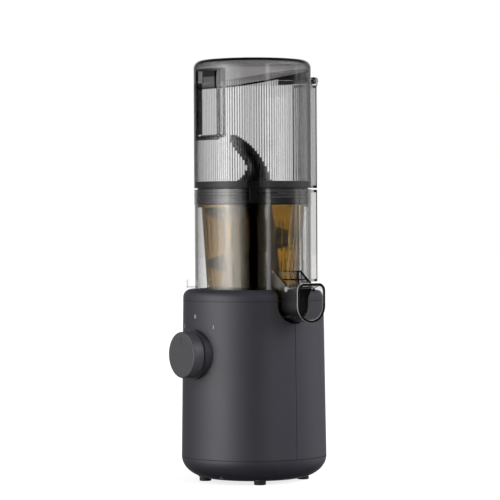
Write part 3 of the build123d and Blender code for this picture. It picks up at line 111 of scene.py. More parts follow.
def ramp(tree, value, start, end, low, high):
    """Smooth change from low to high while the value goes from start to end."""
    node = tree.nodes.new("ShaderNodeMapRange")
    node.interpolation_type = "SMOOTHSTEP"
    tree.links.new(value, node.inputs["Value"])
    for socket, number in (("From Min", start), ("From Max", end), ("To Min", low), ("To Max", high)):
        node.inputs[socket].default_value = number
    return node.outputs["Result"]


def along(tree, vector, direction):
    """How far a vector goes in a direction."""
    node = tree.nodes.new("ShaderNodeVectorMath")
    node.operation = "DOT_PRODUCT"
    tree.links.new(vector, node.inputs[0])
    node.inputs[1].default_value = direction
    return node.outputs["Value"]


# The room is white to the eye and through clear plastic, mid grey as fill light, and dark in reflections except for
# the softboxes and for the backdrop behind the machine. Angles go from the camera's side to the right. Each fade has
# the sine of the height where it starts and ends, and the level before and after it.
FILL_LEVEL = 0.3
TOP_LEVEL = 10.0
CEILING_FADE = (0.45, 0.85, 1.0, 0.15)
LOW_TO_HIGH = (0.22, 0.5, 0.0, 1.0)
MIRRORED_CEILING_FADE = (0.55, 0.85, 1.0, 0.1)
MIRRORED_FLOOR_FADE = (0.2, 0.55, 1.0, 0.06)
REFLECTED_LOW = (
    (-180, 0.7), (-158, 0.35), (-144, 0.1), (-122, 0.2), (-108, 0.4), (-93, 0.9), (-80, 2.0), (-68, 3.8), (-54, 5.2),
    (-42, 3.0), (-29, 1.6), (-17, 0.35), (-11, 0.0), (8, 0.0), (18, 0.1), (24, 0.2), (29, 2.6), (32, 2.6), (36, 0.4),
    (50, 0.2), (62, 0.15), (78, 0.15), (90, 0.3), (98, 1.2), (106, 0.5), (112, 0.9), (125, 0.6), (135, 0.3), (150, 0.3),
    (180, 0.8))
REFLECTED_HIGH = (
    (-180, 0.03), (-140, 0.03), (-112, 0.5), (-68, 2.4), (-42, 0.8), (-17, 0.05), (17, 0.05), (50, 1.2), (80, 2.2),
    (112, 1.2), (132, 0.05), (180, 0.03))
world = bpy.data.worlds.new("studio")
bpy.context.scene.world = world
world.use_nodes = True
room = world.node_tree
room.nodes.clear()
rays = room.nodes.new("ShaderNodeLightPath")
sky = room.nodes.new("ShaderNodeTexCoord").outputs["Generated"]
sky_up = along(room, sky, (0, 0, 1))
ceiling = ramp(room, sky_up, *CEILING_FADE)
turned = calc(room, "ARCTAN2", along(room, sky, to_right), along(room, sky, away))


def round_the_room(stops):
    """Level for each angle round the machine, joined smoothly."""
    node = room.nodes.new("ShaderNodeValToRGB")
    node.color_ramp.interpolation = "EASE"
    room.links.new(calc(room, "MULTIPLY_ADD", turned, 1 / (2 * pi), 0.5), node.inputs["Fac"])
    points = node.color_ramp.elements
    while len(points) < len(stops):
        points.new(0.5)
    for point, (degrees, value) in zip(points, stops):
        point.position = degrees / 360 + 0.5
        point.color = (value / TOP_LEVEL,) * 3 + (1,)
    return calc(room, "MULTIPLY", node.outputs["Color"], TOP_LEVEL)


mirrored = pick(
    room, ramp(room, sky_up, *LOW_TO_HIGH), round_the_room(REFLECTED_LOW), round_the_room(REFLECTED_HIGH))
mirrored = calc(room, "MULTIPLY", mirrored, ramp(room, sky_up, *MIRRORED_CEILING_FADE))
mirrored = calc(room, "MULTIPLY", mirrored, ramp(room, along(room, sky, (0, 0, -1)), *MIRRORED_FLOOR_FADE))
reflected = calc(room, "GREATER_THAN", rays.outputs["Glossy Depth"], 0.5)
clear_or_shiny = calc(room, "MAXIMUM", rays.outputs["Is Transmission Ray"], rays.outputs["Is Glossy Ray"])
level = pick(room, clear_or_shiny, FILL_LEVEL, pick(room, reflected, ceiling, mirrored))
level = pick(room, rays.outputs["Is Camera Ray"], level, 1.0)
glow = room.nodes.new("ShaderNodeBackground")
glow.inputs["Color"].default_value = (1, 1, 1, 1)
room.links.new(level, glow.inputs["Strength"])
room.links.new(glow.outputs[0], room.nodes.new("ShaderNodeOutputWorld").inputs["Surface"])

# The floor is grey paper that glows a little, so that it reads white and still shows the machine's shadow. Its glow
# grows from near the machine outwards. Rays that come from a reflection pass through it into the dark room.
FLOOR_SIZE = 30
FLOOR_GREY = 0.4
FLOOR_GLOW = (0.3, 1.2, 0.8, 1.0)
bpy.ops.mesh.primitive_plane_add(size=FLOOR_SIZE, location=(0, 0, 0))
floor = bpy.context.object
floor.name = "studio_floor"
floor_finish = bpy.data.materials.new("studio_floor")
floor_finish.use_nodes = True
paper = floor_finish.node_tree
paper.nodes.clear()
matt = paper.nodes.new("ShaderNodeBsdfDiffuse")
matt.inputs["Color"].default_value = (FLOOR_GREY, FLOOR_GREY, FLOOR_GREY, 1)
reach = paper.nodes.new("ShaderNodeVectorMath")
reach.operation = "LENGTH"
paper.links.new(paper.nodes.new("ShaderNodeTexCoord").outputs["Object"], reach.inputs[0])
paper_rays = paper.nodes.new("ShaderNodeLightPath")
seen = calc(paper, "MAXIMUM", paper_rays.outputs["Is Camera Ray"], calc(
    paper, "MAXIMUM", paper_rays.outputs["Is Transmission Ray"], paper_rays.outputs["Is Glossy Ray"]))
paper_glow = paper.nodes.new("ShaderNodeEmission")
paper.links.new(
    calc(paper, "MULTIPLY", seen, ramp(paper, reach.outputs["Value"], *FLOOR_GLOW)), paper_glow.inputs["Strength"])
both = paper.nodes.new("ShaderNodeAddShader")
paper.links.new(matt.outputs[0], both.inputs[0])
paper.links.new(paper_glow.outputs[0], both.inputs[1])
mirror_pass = paper.nodes.new("ShaderNodeMixShader")
paper.links.new(calc(paper, "GREATER_THAN", paper_rays.outputs["Glossy Depth"], 0.5), mirror_pass.inputs["Fac"])
paper.links.new(both.outputs[0], mirror_pass.inputs[1])
paper.links.new(paper.nodes.new("ShaderNodeBsdfTransparent").outputs[0], mirror_pass.inputs[2])
paper.links.new(mirror_pass.outputs[0], paper.nodes.new("ShaderNodeOutputMaterial").inputs["Surface"])
floor.data.materials.append(floor_finish)

# A ray through the hopper or the chamber crosses many clear walls, so it may bounce more often than usual.
CLEAR_BOUNCES = 24
scene = bpy.context.scene
scene.view_settings.view_transform = "Standard"
scene.cycles.max_bounces = CLEAR_BOUNCES
scene.cycles.transmission_bounces = CLEAR_BOUNCES
scene.cycles.transparent_max_bounces = CLEAR_BOUNCES
scene.cycles.glossy_bounces = 6
scene.cycles.caustics_reflective = False
scene.cycles.caustics_refractive = False

# ---------------------------------------------------------------- drive unit casing
# A moulded bowl, a two-part tapered wall and a top cover, all injection moulded in dark grey ABS. Their tools are
# spark-eroded, which leaves a fine even texture. The bowl is screwed up from below, and the cover snaps in.


def mottle_group():
    """Colour, roughness and normal that vary in a fine and a broad pattern over a moulded surface."""
    group = bpy.data.node_groups.new("moulded surface", "ShaderNodeTree")
    for socket, kind, value in (
            ("Dark", "NodeSocketColor", (0, 0, 0, 1)), ("Light", "NodeSocketColor", (1, 1, 1, 1)),
            ("Grain Scale", "NodeSocketFloat", 1500.0), ("Grain Height", "NodeSocketFloat", 0.1),
            ("Broad Scale", "NodeSocketFloat", 12.0), ("Rough Low", "NodeSocketFloat", 0.4),
            ("Rough High", "NodeSocketFloat", 0.5)):
        group.interface.new_socket(name=socket, in_out="INPUT", socket_type=kind).default_value = value
    for socket, kind in (
            ("Color", "NodeSocketColor"), ("Roughness", "NodeSocketFloat"), ("Normal", "NodeSocketVector")):
        group.interface.new_socket(name=socket, in_out="OUTPUT", socket_type=kind)
    nodes, links = group.nodes, group.links
    enter, leave = nodes.new("NodeGroupInput"), nodes.new("NodeGroupOutput")
    place = nodes.new("ShaderNodeTexCoord")
    grain = nodes.new("ShaderNodeTexNoise")
    grain.inputs["Detail"].default_value = 3
    broad = nodes.new("ShaderNodeTexNoise")
    broad.inputs["Detail"].default_value = 2
    for tex, scale in ((grain, "Grain Scale"), (broad, "Broad Scale")):
        links.new(place.outputs["Object"], tex.inputs["Vector"])
        links.new(enter.outputs[scale], tex.inputs["Scale"])
    both_fac = nodes.new("ShaderNodeMix")
    both_fac.inputs["Factor"].default_value = 0.5
    links.new(broad.outputs["Fac"], both_fac.inputs["A"])
    links.new(grain.outputs["Fac"], both_fac.inputs["B"])
    tone = nodes.new("ShaderNodeMix")
    tone.data_type = "RGBA"
    links.new(both_fac.outputs["Result"], tone.inputs["Factor"])
    links.new(enter.outputs["Dark"], tone.inputs["A"])
    links.new(enter.outputs["Light"], tone.inputs["B"])
    rough = nodes.new("ShaderNodeMapRange")
    links.new(both_fac.outputs["Result"], rough.inputs["Value"])
    rough.inputs["From Min"].default_value = 0.3
    rough.inputs["From Max"].default_value = 0.7
    links.new(enter.outputs["Rough Low"], rough.inputs["To Min"])
    links.new(enter.outputs["Rough High"], rough.inputs["To Max"])
    bump = nodes.new("ShaderNodeBump")
    bump.inputs["Distance"].default_value = 0.0002
    links.new(grain.outputs["Fac"], bump.inputs["Height"])
    links.new(enter.outputs["Grain Height"], bump.inputs["Strength"])
    links.new(tone.outputs["Result"], leave.inputs["Color"])
    links.new(rough.outputs["Result"], leave.inputs["Roughness"])
    links.new(bump.outputs["Normal"], leave.inputs["Normal"])
    return group


moulded_surface = mottle_group()


def finish(name, dark, light, rough, grain=(1500, 0.1), broad=12, colour_varies=True, **plain):
    """Principled material with the moulded surface group; plain gives the sockets that are the same all over."""
    mat = bpy.data.materials.new(name)
    mat.use_nodes = True
    nodes, links = mat.node_tree.nodes, mat.node_tree.links
    shader = nodes["Principled BSDF"]
    surface = nodes.new("ShaderNodeGroup")
    surface.node_tree = moulded_surface
    surface.inputs["Dark"].default_value = (*dark, 1)
    surface.inputs["Light"].default_value = (*light, 1)
    surface.inputs["Grain Scale"].default_value = grain[0]
    surface.inputs["Grain Height"].default_value = grain[1]
    surface.inputs["Broad Scale"].default_value = broad
    surface.inputs["Rough Low"].default_value = rough[0]
    surface.inputs["Rough High"].default_value = rough[1]
    if colour_varies:
        links.new(surface.outputs["Color"], shader.inputs["Base Color"])
    else:
        shader.inputs["Base Color"].default_value = (*light, 1)
    links.new(surface.outputs["Roughness"], shader.inputs["Roughness"])
    if grain[1] > 0:
        links.new(surface.outputs["Normal"], shader.inputs["Normal"])
    for socket, value in plain.items():
        shader.inputs[socket.replace("_", " ")].default_value = value
    return mat


def tint(mat, colour, density):
    """Colour taken out of the light along its way through a clear material."""
    nodes, links = mat.node_tree.nodes, mat.node_tree.links
    depth = nodes.new("ShaderNodeVolumeAbsorption")
    depth.inputs["Color"].default_value = (*colour, 1)
    depth.inputs["Density"].default_value = density
    links.new(depth.outputs[0], nodes["Material Output"].inputs["Volume"])


def dress(mat, *names):
    for name in names:
        obj = cad[name]
        obj.data.materials.clear()
        obj.data.materials.append(mat)


def set_down(obj, name, mat, body):
    """Last step for a new piece: name, finish, record slot and the CAD body it moves with."""
    obj.name = obj.data.name = name
    obj.data.materials.clear()
    obj.data.materials.append(mat)
    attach(obj, body)


casing_abs = finish("casing_abs", (0.0195, 0.019, 0.0255), (0.0275, 0.0265, 0.034), (0.42, 0.52), grain=(1800, 0.18))
dress(casing_abs, "base_cap", "front_shell", "rear_shell", "top_cover", "knob_ring")

# ---------------------------------------------------------------- casing joints
# The gaps where the top cover and the bowl meet the wall. Moulded parts never meet quite flush, and a near-black ring,
# less than a millimetre high, runs all the way round each gap as painted shade for the shadow inside it. Each has its
# radius, its foot and its height.
WALL_FOOT_R, WALL_FOOT_Z = 0.0796, 0.0275
WALL_TOP_R, WALL_TOP_Z = 0.0772, 0.1980
GAP_IN = 0.0002
GAP_OUT = 0.00003
GAPS = (
    ("cover_joint_shade", WALL_TOP_R, WALL_TOP_Z - 0.00005, 0.0007),
    ("bowl_joint_shade", WALL_FOOT_R, WALL_FOOT_Z - 0.0003, 0.0009))


def in_edit(obj, *steps):
    """Runs mesh operators in edit mode, each on what the one before left selected."""
    bpy.ops.object.select_all(action="DESELECT")
    obj.select_set(True)
    bpy.context.view_layer.objects.active = obj
    bpy.ops.object.mode_set(mode="EDIT")
    bpy.ops.mesh.select_all(action="SELECT")
    for step in steps:
        step()
    bpy.ops.object.mode_set(mode="OBJECT")


def outwards():
    bpy.ops.mesh.select_all(action="SELECT")
    bpy.ops.mesh.normals_make_consistent(inside=False)


def lathe(profile, steps=128):
    """Closed ring drawn along a profile of (radius, height) points round the machine's axis, in metres."""
    (r, z), rest = profile[0], profile[1:]
    bpy.ops.mesh.primitive_circle_add(vertices=steps, radius=r, location=(AXIS_X, AXIS_Y, z))
    obj = bpy.context.object
    bpy.ops.object.transform_apply(location=True)

    def draw():
        here_r, here_z = r, z
        for next_r, next_z in rest:
            bpy.ops.mesh.extrude_region_move(TRANSFORM_OT_translate={"value": (0, 0, next_z - here_z)})
            grow = next_r / here_r
            bpy.ops.transform.resize(value=(grow, grow, 1), center_override=(AXIS_X, AXIS_Y, next_z))
            here_r, here_z = next_r, next_z
        bpy.ops.mesh.select_all(action="DESELECT")
        bpy.ops.mesh.select_mode(type="EDGE")
        bpy.ops.mesh.select_non_manifold()
        bpy.ops.mesh.bridge_edge_loops()

    in_edit(obj, draw, outwards)
    return obj


# Painted shade: the ring's near-black colour stands in for the shadow inside each gap.
gap_painted_shade = finish("gap_painted_shade", (0.004, 0.004, 0.004), (0.008, 0.008, 0.008), (0.6, 0.8), grain=(800, 0))
for name, gap_r, gap_z, gap_h in GAPS:
    inner, outer = gap_r - GAP_IN, gap_r + GAP_OUT
    line = lathe(((inner, gap_z), (outer, gap_z), (outer, gap_z + gap_h), (inner, gap_z + gap_h)))
    set_down(line, name, gap_painted_shade, "base")

# ---------------------------------------------------------------- feet and underside
# Four soft rubber pads pressed into round seats under the bowl, which keep the machine from walking on a worktop,
# and the zinc-plated screws that hold the bowl to the wall. The motor's mounts and the cord gland are of the same
# rubber, and the switch's nut and the small pins of the same plated steel.
foot_rubber = finish("foot_rubber", (0.012, 0.012, 0.013), (0.022, 0.022, 0.023), (0.7, 0.85), grain=(900, 0.3))
dress(foot_rubber, "feet", "motor_mounts", "cord_gland")
zinc_steel = finish(
    "zinc_steel", (0.45, 0.46, 0.48), (0.6, 0.6, 0.6), (0.28, 0.4), grain=(700, 0.1), Metallic=1.0)
dress(zinc_steel, "case_screws", "gearbox_screws", "switch_nut", "gear_pin", "flap_pin", "hinge_pin")

# ---------------------------------------------------------------- control knob
# A satin knob pressed on a nylon spindle, in front of a round seat. It turns the selector switch behind the wall.
# The pointer groove in its face is filled with black paint.
KNOB_Z = 0.1407
KNOB_REACH = 0.0960
POINTER_W, POINTER_DEPTH, POINTER_LEN = 0.00114, 0.0006, 0.0089
POINTER_EDGE = 0.00005
POINTER_SUNK = 0.0002
POINTER_FOOT_Z = 0.15145


def slab(width, depth, height, edge=0.0003, cuts=7):
    """Flat block with softened edges, lying against y = 0, its foot on z = 0, ready to be wrapped."""
    bpy.ops.mesh.primitive_cube_add(size=1, location=(0, depth / 2, height / 2), scale=(width, depth, height))
    obj = bpy.context.object
    bpy.ops.object.transform_apply(location=True, scale=True)
    in_edit(obj, lambda: bpy.ops.mesh.subdivide(number_cuts=cuts))
    soft = obj.modifiers.new("soft edges", "BEVEL")
    soft.width = edge
    soft.segments = 2
    soft.limit_method = "ANGLE"
    bpy.ops.object.modifier_apply(modifier=soft.name)
    return obj


def lift(obj, x=0.0, y=0.0, z=0.0):
    """Moves a new piece and leaves its object at the origin."""
    bpy.ops.object.select_all(action="DESELECT")
    obj.select_set(True)
    bpy.context.view_layer.objects.active = obj
    obj.location = (x, y, z)
    bpy.ops.object.transform_apply(location=True)
    return obj


knob_satin = finish("knob_satin", (0.041, 0.040, 0.046), (0.052, 0.051, 0.057), (0.36, 0.44), grain=(2200, 0.08))
dress(knob_satin, "knob")
pointer_dark = finish("pointer_dark", (0.006, 0.006, 0.007), (0.010, 0.010, 0.011), (0.5, 0.6), grain=(900, 0))
pointer = slab(POINTER_W, POINTER_DEPTH, POINTER_LEN, POINTER_EDGE)
lift(pointer, AXIS_X, AXIS_Y - KNOB_REACH + POINTER_SUNK, POINTER_FOOT_Z)
set_down(pointer, "knob_pointer", pointer_dark, "knob")

# ---------------------------------------------------------------- moulded inner parts
# The spindle, the fan and the gearbox are moulded in natural nylon, which is tough and quiet. The switches and the
# parts on the control board are bought in, in black phenolic and epoxy cases.
nylon = finish("nylon", (0.62, 0.60, 0.54), (0.74, 0.72, 0.66), (0.4, 0.5), grain=(600, 0.1))
dress(nylon, "knob_spindle", "cooling_fan", "gearbox_housing", "gearbox_cover")
component_black = finish("component_black", (0.02, 0.02, 0.022), (0.035, 0.035, 0.037), (0.35, 0.5), grain=(900, 0.1))
dress(component_black, "selector_switch", "safety_switch", "board_parts")

# ---------------------------------------------------------------- dial marks
# Three plain numbers for the knob's three positions, pad-printed in white ink on the wall above the knob. The ink
# follows the tapered wall and stands a hair proud of it.
DIAL_R = 0.041
DIGITS = (("2", -43), ("0", 0), ("1", 43))
DIGIT_SIZE = 0.0056
INK = 0.00004
INK_STAND = 0.00006


def wrap(obj, azimuth, radius):
    """Bends what is drawn flat, x along the wall and y outwards, round the machine's axis."""
    for v in obj.data.vertices:
        a, r = azimuth + v.co.x / radius, radius + v.co.y
        v.co = (AXIS_X + r * cos(a), AXIS_Y + r * sin(a), v.co.z)
    in_edit(obj, outwards)


def join(*objs):
    bpy.ops.object.select_all(action="DESELECT")
    for obj in objs:
        obj.select_set(True)
    bpy.context.view_layer.objects.active = objs[0]
    bpy.ops.object.join()
    return objs[0]


print_white = finish("print_white", (0.66, 0.66, 0.68), (0.74, 0.74, 0.76), (0.5, 0.6), grain=(900, 0))
marks = []
for digit, degrees in DIGITS:
    bpy.ops.object.text_add(location=(0, 0, 0))
    mark = bpy.context.object
    mark.data.body = digit
    mark.data.size = DIGIT_SIZE
    mark.data.extrude = INK
    mark.data.align_x = "CENTER"
    mark.data.align_y = "CENTER"
    bpy.ops.object.convert(target="MESH")
    mark = bpy.context.object
    mark_z = KNOB_Z + DIAL_R * cos(radians(degrees))
    for v in mark.data.vertices:
        v.co = (v.co.x + DIAL_R * sin(radians(degrees)), v.co.z, v.co.y + mark_z)
    wall_r = WALL_FOOT_R + (mark_z - WALL_FOOT_Z) * (WALL_TOP_R - WALL_FOOT_R) / (WALL_TOP_Z - WALL_FOOT_Z)
    wrap(mark, -pi / 2, wall_r + INK_STAND)
    marks.append(mark)
set_down(join(*marks), "dial_marks", print_white, "base")

# ---------------------------------------------------------------- motor and gearing
# An induction motor and two gear stages in die-cast brackets. Stator and rotor are stacked iron sheet, and the stator
# is wound with varnished copper. Shafts, gears, the auger's socket and the rods' springs are ground steel, and the
# output shaft runs in sintered bronze bushes. The control board is green epoxy.
iron = finish("stacked_iron", (0.16, 0.16, 0.18), (0.27, 0.27, 0.29), (0.4, 0.55), grain=(500, 0.2), Metallic=1.0)
dress(iron, "motor_stator", "motor_rotor")
copper = finish("varnished_copper", (0.50, 0.20, 0.08), (0.72, 0.34, 0.16), (0.25, 0.4), grain=(350, 0.6), Metallic=1.0)
dress(copper, "motor_windings")
ground_steel = finish(
    "ground_steel", (0.52, 0.52, 0.53), (0.62, 0.62, 0.63), (0.18, 0.3), grain=(1200, 0.06), Metallic=1.0)
dress(
    ground_steel, "motor_shaft", "motor_pinion", "compound_gear", "output_gear", "output_shaft", "motor_bearings",
    "auger_socket", "chamber_rod_spring", "hopper_rod_spring")
die_cast = finish("die_cast", (0.42, 0.42, 0.44), (0.55, 0.55, 0.57), (0.42, 0.6), grain=(260, 0.4), Metallic=1.0)
dress(die_cast, "motor_lower_bracket", "motor_upper_bracket")
bronze = finish("bronze", (0.42, 0.27, 0.12), (0.56, 0.38, 0.19), (0.35, 0.5), grain=(900, 0.3), Metallic=1.0)
dress(bronze, "output_bushes")
board_green = finish("board_green", (0.012, 0.09, 0.035), (0.02, 0.13, 0.05), (0.3, 0.4), grain=(300, 0.2))
dress(board_green, "control_board")

# ---------------------------------------------------------------- seals
# Dark silicone packings keep juice out of the drive unit: round the drive shaft, under the chamber and in the residue
# outlet. The disc on the back of the spout's flap is red-brown silicone.
silicone_dark = finish("silicone_dark", (0.025, 0.025, 0.026), (0.04, 0.04, 0.042), (0.5, 0.65), grain=(500, 0.1))
dress(silicone_dark, "shaft_seal", "chamber_packing", "residue_plug")
silicone_red = finish("silicone_red", (0.16, 0.035, 0.018), (0.22, 0.05, 0.026), (0.45, 0.6), grain=(500, 0.1))
dress(silicone_red, "flap_seal")

# ---------------------------------------------------------------- juicing chamber
# One clear copolyester moulding, polished so that the strainer shows through it. Three low ridges on its wall are the
# level marks, and a small hooked lug at the foot tells the drive unit that the chamber is turned home.
CAMERA_SIDE = CAMERA_AZIMUTH - pi / 2
CHAMBER_FACE_R = 0.06403
RIDGE_TURNS = (52.5, 61.5, 71)
RIDGE_W, RIDGE_DEPTH, RIDGE_H, RIDGE_EDGE = 0.0016, 0.0008, 0.084, 0.0006
RIDGE_FOOT_Z = 0.2175
LUG_TURN = -93
LUG_FACE_R = 0.0642
LUG_W = 0.005
LUG_ARM_REACH, LUG_ARM_H, LUG_ARM_Z = 0.0088, 0.0022, 0.2115
LUG_TIP_DEPTH, LUG_TIP_H, LUG_TIP_OUT, LUG_TIP_Z = 0.0018, 0.0085, 0.0075, 0.2124
clear_copolyester = finish(
    "clear_copolyester", (1, 1, 1), (1, 1, 1), (0.012, 0.025), grain=(40, 0), broad=40,
    colour_varies=False, Transmission_Weight=1.0, IOR=1.45)
tint(clear_copolyester, (0.05, 0.03, 0.0), 60)
dress(clear_copolyester, "chamber")
for number, degrees in enumerate(RIDGE_TURNS):
    ridge = lift(slab(RIDGE_W, RIDGE_DEPTH, RIDGE_H, RIDGE_EDGE), z=RIDGE_FOOT_Z)
    wrap(ridge, CAMERA_SIDE + radians(degrees), CHAMBER_FACE_R)
    set_down(ridge, f"chamber_ridge_{number}", clear_copolyester, "chamber")
arm = lift(slab(LUG_W, LUG_ARM_REACH, LUG_ARM_H), z=LUG_ARM_Z)
tip = lift(slab(LUG_W, LUG_TIP_DEPTH, LUG_TIP_H), y=LUG_TIP_OUT, z=LUG_TIP_Z)
lug = join(arm, tip)
wrap(lug, CAMERA_SIDE + radians(LUG_TURN), LUG_FACE_R)
set_down(lug, "chamber_lug", clear_copolyester, "chamber")

# ---------------------------------------------------------------- juice spout
# The spout is part of the chamber's moulding, round at its foot and square above. A rounded bead stiffens its mouth,
# and a thinner one inside it stops the last drop. The beads are given a pale, half-clear grey as painted highlight,
# standing in for the light that their clear edges catch. Each bead has its distance in from the spout's outline and
# half its thickness.
SPOUT_HALF = 0.01825
SPOUT_BEND_Z = 0.19425
SPOUT_RISE = 0.02375
SPOUT_ROUND = 0.008
SPOUT_MOUTH_X = 0.1061
BEADS = (("spout_bead", 0.0004, 0.00075), ("spout_inner_bead", 0.0024, 0.0005))
BEAD_STEPS, BEAD_SIDES = 96, 8


def on_spout(turn, inset):
    """Point of the spout's outline in a direction seen from the middle of its round foot: across and up."""
    half, rise, corner = SPOUT_HALF - inset, SPOUT_RISE - inset, SPOUT_ROUND - inset
    c, s = cos(turn), sin(turn)
    if s <= 0:
        return half * c, half * s
    reach = min(half / max(abs(c), 1e-6), rise / s)
    mid_x, mid_z = half - corner, rise - corner
    if abs(c) * reach > mid_x and s * reach > mid_z:
        b = abs(c) * mid_x + s * mid_z
        reach = b + sqrt(max(b * b - mid_x ** 2 - mid_z ** 2 + corner ** 2, 0))
    return reach * c, reach * s


# Painted highlight: the pale grey stands in for the light that the clear beads' edges catch.
bead_painted_highlight = finish(
    "bead_painted_highlight", (0.50, 0.50, 0.53), (0.62, 0.62, 0.65), (0.1, 0.16), grain=(700, 0), Transmission_Weight=0.35,
    IOR=1.45)
for name, inset, thick in BEADS:
    bpy.ops.mesh.primitive_torus_add(
        major_segments=BEAD_STEPS, minor_segments=BEAD_SIDES, major_radius=SPOUT_HALF, minor_radius=thick,
        location=(0, 0, 0))
    bead = bpy.context.object
    for v in bead.data.vertices:
        turn = atan2(v.co.y, v.co.x)
        out = v.co.to_2d().length - SPOUT_HALF
        across, up = on_spout(turn, inset - out)
        v.co = (AXIS_X + SPOUT_MOUTH_X + v.co.z, AXIS_Y + across, SPOUT_BEND_Z + up)
    in_edit(bead, outwards)
    set_down(bead, name, bead_painted_highlight, "chamber")

# ---------------------------------------------------------------- spout flap and safety rods
# The flap that shuts the spout is glossy black ABS on a steel pin. The rods that carry the lid's position down to the
# safety switch are white acetal, which slides without grease.
flap_black = finish("flap_black", (0.003, 0.003, 0.003), (0.006, 0.006, 0.006), (0.1, 0.18), grain=(900, 0))
dress(flap_black, "spout_flap")
rod_white = finish("rod_white", (0.55, 0.55, 0.54), (0.66, 0.66, 0.65), (0.35, 0.45), grain=(700, 0.06))
dress(rod_white, "switch_plunger", "chamber_rod", "hopper_rod")

# ---------------------------------------------------------------- neck
# The dark ring that is welded under the hopper, with its neck that stands inside the chamber's mouth. Low ridges run
# round the neck and seal it, and a dark latch comes down over the chamber's rim. The lid's hinge strip is of the
# ring's plastic.
NECK_FACE_R = 0.06093
NECK_FOOT_Z = 0.3040
NECK_BAND_H = 0.0048
NECK_CHAMFER = 0.0004
NECK_RIDGES_Z = (0.3090, 0.3124, 0.3158)
NECK_RIDGE_ROOT, NECK_RIDGE_STAND, NECK_RIDGE_SLOPE, NECK_RIDGE_H = 0.0001, 0.0006, 0.0006, 0.0033
LATCH_FACE_R = 0.06443
LATCH_DEPTH = 0.0009
LATCH_HEAD_W, LATCH_HEAD_H, LATCH_HEAD_Z = 0.0133, 0.0066, 0.3214
LATCH_TONGUE_W, LATCH_TONGUE_H, LATCH_TONGUE_Z, LATCH_TONGUE_ASIDE = 0.0078, 0.0172, 0.3043, 0.0006
trim_dark = finish(
    "trim_dark", (0.010, 0.010, 0.012), (0.016, 0.016, 0.018), (0.24, 0.34), grain=(900, 0.03), Specular_IOR_Level=0.3)
dress(trim_dark, "hopper_ring", "hinge_strip")
# The neck's ridges are of the ring's dark plastic, but they get a lighter grey as painted sheen, standing in for the
# light that they reflect.
neck_painted_sheen = finish(
    "neck_painted_sheen", (0.10, 0.098, 0.096), (0.15, 0.147, 0.143), (0.16, 0.24), grain=(900, 0.03), Specular_IOR_Level=0.7)
band_r = NECK_FACE_R + NECK_CHAMFER
ridge_line = [(NECK_FACE_R, NECK_FOOT_Z), (band_r, NECK_FOOT_Z + NECK_CHAMFER), (band_r, NECK_FOOT_Z + NECK_BAND_H)]
for foot in NECK_RIDGES_Z:
    ridge_line += [
        (NECK_FACE_R + NECK_RIDGE_ROOT, foot), (NECK_FACE_R + NECK_RIDGE_STAND, foot + NECK_RIDGE_SLOPE),
        (NECK_FACE_R, foot + NECK_RIDGE_H)]
set_down(lathe(ridge_line), "neck_ridges", neck_painted_sheen, "hopper")
head = lift(slab(LATCH_HEAD_W, LATCH_DEPTH, LATCH_HEAD_H), z=LATCH_HEAD_Z)
tongue = lift(slab(LATCH_TONGUE_W, LATCH_DEPTH, LATCH_TONGUE_H), x=LATCH_TONGUE_ASIDE, z=LATCH_TONGUE_Z)
latch = join(head, tongue)
wrap(latch, CAMERA_SIDE, LATCH_FACE_R)
set_down(latch, "hopper_latch", flap_black, "hopper")

# ---------------------------------------------------------------- strainer
# The strainer is moulded in amber polyetherimide, which stays stiff in a thin wall. It is polished, slightly cloudy in
# its depth, and has two rows of narrow slots that let the juice out and hold the pulp back.
amber_pei = finish(
    "amber_polyetherimide", (0.52, 0.37, 0.08), (0.54, 0.38, 0.08), (0.03, 0.05), grain=(160, 0), broad=30,
    colour_varies=False, Transmission_Weight=1.0, IOR=1.65)
dress(amber_pei, "strainer")

# ---------------------------------------------------------------- auger
# A near-black moulded screw that crushes the fruit against the strainer. Its top wing, moulded apart and pressed in,
# reaches up into the hopper and pulls whole fruit down. Juice and washing leave it a dull satin. Screw and wing are one
# black plastic: the screw's deeper black is painted shade inside the chamber, and the wing's lighter tone is painted
# light.
# Painted shade and light: the screw is darker and the wing lighter than the one black plastic that they share.
auger_shaded_black = finish(
    "auger_shaded_black", (0.0015, 0.0015, 0.0018), (0.0035, 0.0035, 0.004), (0.2, 0.28), grain=(700, 0.04))
dress(auger_shaded_black, "auger")
wing_lit_black = finish("wing_lit_black", (0.010, 0.010, 0.011), (0.016, 0.016, 0.017), (0.24, 0.34), grain=(700, 0.08))
dress(wing_lit_black, "auger_wing")

# ---------------------------------------------------------------- hopper
# Smoked copolyester with a row of flat ribs all round. The ribs are shallow enough to see the wing through both walls,
# and the grooves between them are drawn as fine dark lines in the colour, painted shade for the grooves.
RIB_COUNT = 150
RIB_R = 0.0636
RIB_BEND = 0.14
WALL_ALIGNED = 0.85
GROOVE_SHARE = 0.24
GROOVE_PAINTED_SHADE = (0.06, 0.06, 0.065)


